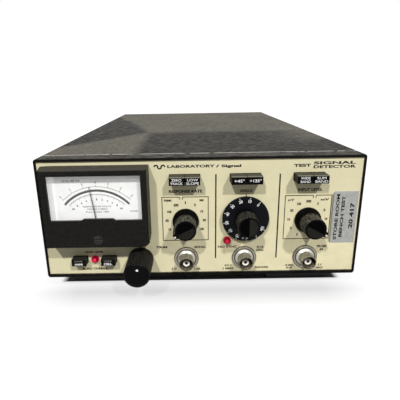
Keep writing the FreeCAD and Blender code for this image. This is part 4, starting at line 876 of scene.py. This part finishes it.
# %% Dial numbers
dial_low, dial_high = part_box("phase_dial")
DIAL_Y = (dial_low.y - START.y) / MM - INK
DIAL_RADIUS = (dial_high.x - dial_low.x) / MM / 2
DIAL_START = 38.5
DIAL_STEP = -27.65
dial_pieces = []
for count in range(11):
    angle = DIAL_START + DIAL_STEP * count
    x, z = polar(PHASE.x, PHASE.z, DIAL_RADIUS - 2.9, angle)
    text = str(count * 10)
    wide = 1.25 * (len(text) - 0.4 * text.count("1"))
    dial_pieces.append(lettering(text, x, z, wide, 2.15, 0.08, DIAL_Y, angle))
    dial_pieces.append(spoke(PHASE.x, PHASE.z, DIAL_RADIUS - 1.5, DIAL_RADIUS - 0.5, angle, 0.35,
                             DIAL_Y))
printed("phase_dial_numbers", dial_pieces, white_ink, "phase_control")

# %% [markdown]
# The words on the push buttons are thin flat letters a hair in front of the button's face.
# Each set rides on its own button, so it moves in with it. The two power buttons have a
# second, fainter word above the first.

# %% Button words
for name, text, wide, tall, weight in (
        ("button_1_1", "ZERO\nTRACK", 8.2, 3.9, 0.03), ("button_1_2", "LOW\nSLOPE", 8.2, 3.9, 0.03),
        ("button_2_1", "+45\u00b0", 6.6, 2.0, 0.06), ("button_2_2", "+135\u00b0", 7.6, 2.0, 0.06),
        ("button_3_1", "WIDE\nBAND", 6.4, 3.9, 0.03), ("button_3_2", "SLIM\nBAND", 8.2, 3.9, 0.03),
        ("line_button", "MAINS", 5.4, 1.5, 0.08), ("battery_button", "CELL", 5.8, 1.7, 0.1)):
    low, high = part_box(name)
    place = middle(name)
    lower = 0.0 if name.startswith("button_") else 0.95
    printed(f"{name}_words", [lettering(text, place.x, place.z - lower, wide, tall, weight,
                                        (low.y - START.y) / MM - INK)], white_ink, name)
for name, text in (("line_button", "LIVE"), ("battery_button", "LOAD")):
    low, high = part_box(name)
    place = middle(name)
    printed(f"{name}_upper_word", [lettering(text, place.x, place.z + 1.3, 5.4, 1.1, 0.03,
                                             (low.y - START.y) / MM - INK)], grey_ink, name)

# %% [markdown]
# The meter's scale is printed on a card behind the window: a thick arc, thin arcs above and
# below it with ticks, two rows of numbers and three lines of words, all round the needle's
# pivot.

# %% Meter scale
SCALE_Y = (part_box("meter_scale")[0].y - START.y) / MM - INK
PIVOT_X, PIVOT_Z = -67.4, 37.6
scale_pieces = [
    arc(PIVOT_X, PIVOT_Z + 0.3, 28.1, -48.3, 48.3, 1.5, SCALE_Y)]
faint_pieces = [arc(PIVOT_X, PIVOT_Z, 31.0, -45, 45, 0.28, SCALE_Y),
                arc(PIVOT_X, PIVOT_Z, 26.0, -44, 44, 0.28, SCALE_Y)]
for count, angle in enumerate((-44, -30, -15, 0, 14, 28.7, 42.8)):
    faint_pieces.append(spoke(PIVOT_X, PIVOT_Z, 31.0, 32.3, angle, 0.25, SCALE_Y))
    x, z = polar(PIVOT_X, PIVOT_Z, 33.7, angle)
    scale_pieces.append(lettering(str(abs(count - 3)), x, z, 0.45 if count in (2, 4) else 0.9, 1.5,
                                  0.04, SCALE_Y, angle))
NUMERAL_STEP = 8.86
for count in range(11):
    angle = (count - 5) * NUMERAL_STEP
    x, z = polar(PIVOT_X, PIVOT_Z, 22.4, angle)
    text = str(abs(count - 5) * 2)
    scale_pieces.append(lettering(text, x, z, 0.9 * len(text), 1.35, 0.08, SCALE_Y))
for count in range(51):
    angle = (count - 25) * NUMERAL_STEP / 5
    long = 1.6 if count % 5 == 0 else 0.8
    faint_pieces.append(spoke(PIVOT_X, PIVOT_Z, 26.0 - long, 26.0, angle, 0.16, SCALE_Y))
for text, z, wide in (("RESPONSE IN VOLTS", 55.2, 18.3), ("CENTRE IS ZERO", 53.4, 13.5),
                      ("FULL SCALE TEN", 51.5, 15.1)):
    faint_pieces.append(lettering(text, PIVOT_X - 0.2, z, wide, 1.1, 0.03, SCALE_Y))
faint_pieces.append(lettering("ONE", -43.6, 51.7, 5.3, 1.1, 0.02, SCALE_Y))
faint_pieces.append(lettering("LEVEL METER", -83.0, 72.6, 12.0, 1.4, 0.03, SCALE_Y))
printed("meter_scale_printing", scale_pieces, black_ink)
faint_ink = ink("faint scale ink", (92, 92, 90), (120, 120, 118))
printed("meter_fine_printing", faint_pieces, faint_ink)

# %% [markdown]
# The meter's housing spreads to the left toward the panel and hides the strip of panel next
# to the bezel, and its lower right corner is squarer than that of the solid. Two blocks in
# the housing's finish add this: one has its rear corners pulled to the left, the other a
# small bevel along its lower right edge.

# %% Meter skirt
meter_low, meter_high = [(corner - START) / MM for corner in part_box("meter_case")]
SKIRT_SPREAD, SKIRT_IN, CORNER_CUT = 3.4, 1.2, 2.0


def block(x, y, z):
    """A box between pairs of millimetres along X, Y and Z."""
    clear_selection()
    pairs = (x, y, z)
    bpy.ops.mesh.primitive_cube_add(size=MM, location=at(*[(a + b) / 2 for a, b in pairs]))
    bpy.context.object.scale = [b - a for a, b in pairs]
    bpy.ops.object.transform_apply(location=True, rotation=True, scale=True)
    return bpy.context.object


skirt_y = (meter_low.y + 0.05, PANEL_Y - 0.02)
left_wall = block((meter_low.x - 0.1, meter_low.x + SKIRT_IN), skirt_y,
                  (meter_low.z + 0.3, meter_high.z - 0.2))
bpy.ops.object.mode_set(mode="EDIT")
bpy.ops.mesh.select_mode(type="VERT")
bpy.ops.object.mode_set(mode="OBJECT")
for part in (*left_wall.data.edges, *left_wall.data.polygons):
    part.select = False
for corner in left_wall.data.vertices:
    corner.select = (corner.co.y > at(0, -1, 0).y
                     and corner.co.x < at(meter_low.x + SKIRT_IN / 2, 0, 0).x)
bpy.ops.object.mode_set(mode="EDIT")
bpy.ops.transform.translate(value=(-SKIRT_SPREAD * MM, 0, 0))
bpy.ops.object.mode_set(mode="OBJECT")
corner_block = block((meter_high.x - 6, meter_high.x - 0.2), skirt_y,
                     (meter_low.z + 0.3, meter_low.z + 6))
for edge in corner_block.data.edges:
    ends = [corner_block.data.vertices[corner].co for corner in edge.vertices]
    edge.select = (abs(ends[0].y - ends[1].y) > MM and ends[0].x > at(meter_high.x - 1, 0, 0).x
                   and ends[0].z < at(0, 0, meter_low.z + 1).z)
bpy.ops.object.mode_set(mode="EDIT")
bpy.ops.mesh.select_mode(type="EDGE")
bpy.ops.mesh.bevel(offset=CORNER_CUT * MM, segments=1)
bpy.ops.mesh.select_mode(type="VERT")
bpy.ops.object.mode_set(mode="OBJECT")
printed("meter_skirt", [left_wall, corner_block], meter_black)

# %% [markdown]
# A store tag of grey foil is stuck on at the right. It starts as a block the size of the
# foil, whose four left corners are rounded by bevelling the edges that run through it.

# %% Store tag
TAG_LEFT, TAG_RIGHT, TAG_LOW, TAG_HIGH = 89.2, 106.4, 23.4, 60.4
TAG_THICK = 0.15
clear_selection()
bpy.ops.mesh.primitive_cube_add(size=MM, location=at(
    (TAG_LEFT + TAG_RIGHT) / 2, PANEL_Y - TAG_THICK / 2, (TAG_LOW + TAG_HIGH) / 2))
tag = bpy.context.object
tag.scale = (TAG_RIGHT - TAG_LEFT, TAG_THICK, TAG_HIGH - TAG_LOW)
tag = new_piece("store_tag")
bpy.ops.object.mode_set(mode="EDIT")
bpy.ops.mesh.select_all(action="DESELECT")
bpy.ops.object.mode_set(mode="OBJECT")
for edge in tag.data.edges:
    ends = [tag.data.vertices[corner].co for corner in edge.vertices]
    along_y = abs(ends[0].y - ends[1].y) > TAG_THICK * MM / 2
    edge.select = along_y and ends[0].x < at((TAG_LEFT + TAG_RIGHT) / 2, 0, 0).x
bpy.ops.object.mode_set(mode="EDIT")
bpy.ops.mesh.bevel(offset=2.0 * MM, segments=6)
bpy.ops.object.mode_set(mode="OBJECT")
foil = Finish("grey foil", Roughness=0.5, Specular_IOR_Level=0.3)
mottle = foil.step(foil.noise(2.5, 5, 0.6), 0.35, 0.65)
foil.colour(foil.mix(mottle, paint(178, 178, 174), paint(160, 161, 158)))
tag.data.materials.append(foil.material)
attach(tag, "chassis")
TAG_INK = PANEL_Y - TAG_THICK - INK
printed("store_tag_words", [
    lettering("STORE ROOM", 92.9, 42.05, 32.9, 2.2, 0.12, TAG_INK, -90),
    lettering("BENCH TEST", 96.6, 42.4, 29.8, 2.2, 0.12, TAG_INK, -90),
    lettering("20 417", 102.9, 43.15, 18.5, 2.9, 0.16, TAG_INK, -90)], black_ink)

# %% [markdown]
# The three knobs with pointers have a cap with a low ridge, like a roof. On the two switches
# the ridge runs along the pointer. On the phase knob it is turned away from it by 35 degrees.
# One slope is dark; the other is rougher and painted a lighter grey, a painted reflection.
# The cap is a short cylinder whose front is cut away by two planes that meet at the ridge.
# Each plane lies a hundredth of a millimetre below the last, so that it never runs exactly
# through a corner or the edge of the first cut.

# %% Knob caps
CAP_EDGE, CAP_RIDGE = 0.15, 1.0


def knob_cap(name, knob, centre, ridge_turn, dark_side):
    """A ridged cap on a knob's face, its finish, and the body that it turns with."""
    face = (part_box(knob)[0].y - START.y) / MM
    clear_selection()
    bpy.ops.mesh.primitive_cylinder_add(
        vertices=56, radius=KNOB_FACE * MM, depth=CAP_RIDGE * MM, rotation=(math.radians(90), 0, 0),
        location=at(centre.x, face - CAP_RIDGE / 2, centre.z))
    cap = new_piece(f"{name}_knob_cap")
    top = at(centre.x, face - CAP_RIDGE, centre.z)
    turn = math.radians(ridge_turn)
    across = Vector((math.cos(turn), 0, -math.sin(turn)))
    bpy.ops.object.mode_set(mode="EDIT")
    for sink, way in ((0.01, across), (0.02, -across)):
        bpy.ops.mesh.select_all(action="SELECT")
        slope = (way * (CAP_RIDGE - CAP_EDGE) + Vector((0, -KNOB_FACE, 0))).normalized()
        bpy.ops.mesh.bisect(plane_co=top + Vector((0, sink * MM, 0)), plane_no=slope,
                            use_fill=True, clear_outer=True)
    bpy.ops.object.mode_set(mode="OBJECT")
    finish = Finish(f"{name} cap", Specular_IOR_Level=0.01)
    # Painted reflection: the dull slope is painted a lighter grey than the dark slope.
    toward = finish.own_facing("X") * (across.x * dark_side) + finish.own_facing("Z") * (
        across.z * dark_side)
    dull = 1 - toward.above(0)
    marks = finish.step(finish.noise(1.5, 4), 0.35, 0.65)
    finish.colour(finish.mix(dull * (marks * 0.3 + 0.7), CLEAN, paint(42, 41, 38)))
    finish.rough(finish.step(dull, 0, 1, 0.4, 0.6))
    cap.data.materials.append(finish.material)
    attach(cap, f"{name}_control")
    print(cap.name, "has", len(cap.data.polygons), "faces")


RIDGE_TURNS = {"time_constant": -121, "phase": 180, "sensitivity": 116}
for name, dark_side in (("time_constant", 1), ("phase", 1), ("sensitivity", -1)):
    knob_cap(name, f"{name}_knob", SHAFTS[name], RIDGE_TURNS[name], dark_side)

# %% [markdown]
# A small dot marks the tip of each pointer. It rides on the control, so it turns with the knob.

# %% White dots
NOSE_REACH, DOT_RADIUS = 7.9, 0.6
for name, angle, ink_used in (("time_constant", -122, white_ink), ("sensitivity", 121, white_ink),
                              ("phase", -149, grey_ink)):
    centre = SHAFTS[name]
    face = (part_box(f"{name}_knob")[0].y - START.y) / MM
    x, z = polar(centre.x, centre.z, NOSE_REACH, angle)
    printed(f"{name}_pointer_dot", [dot(x, z, DOT_RADIUS, face - INK)], ink_used, f"{name}_control")
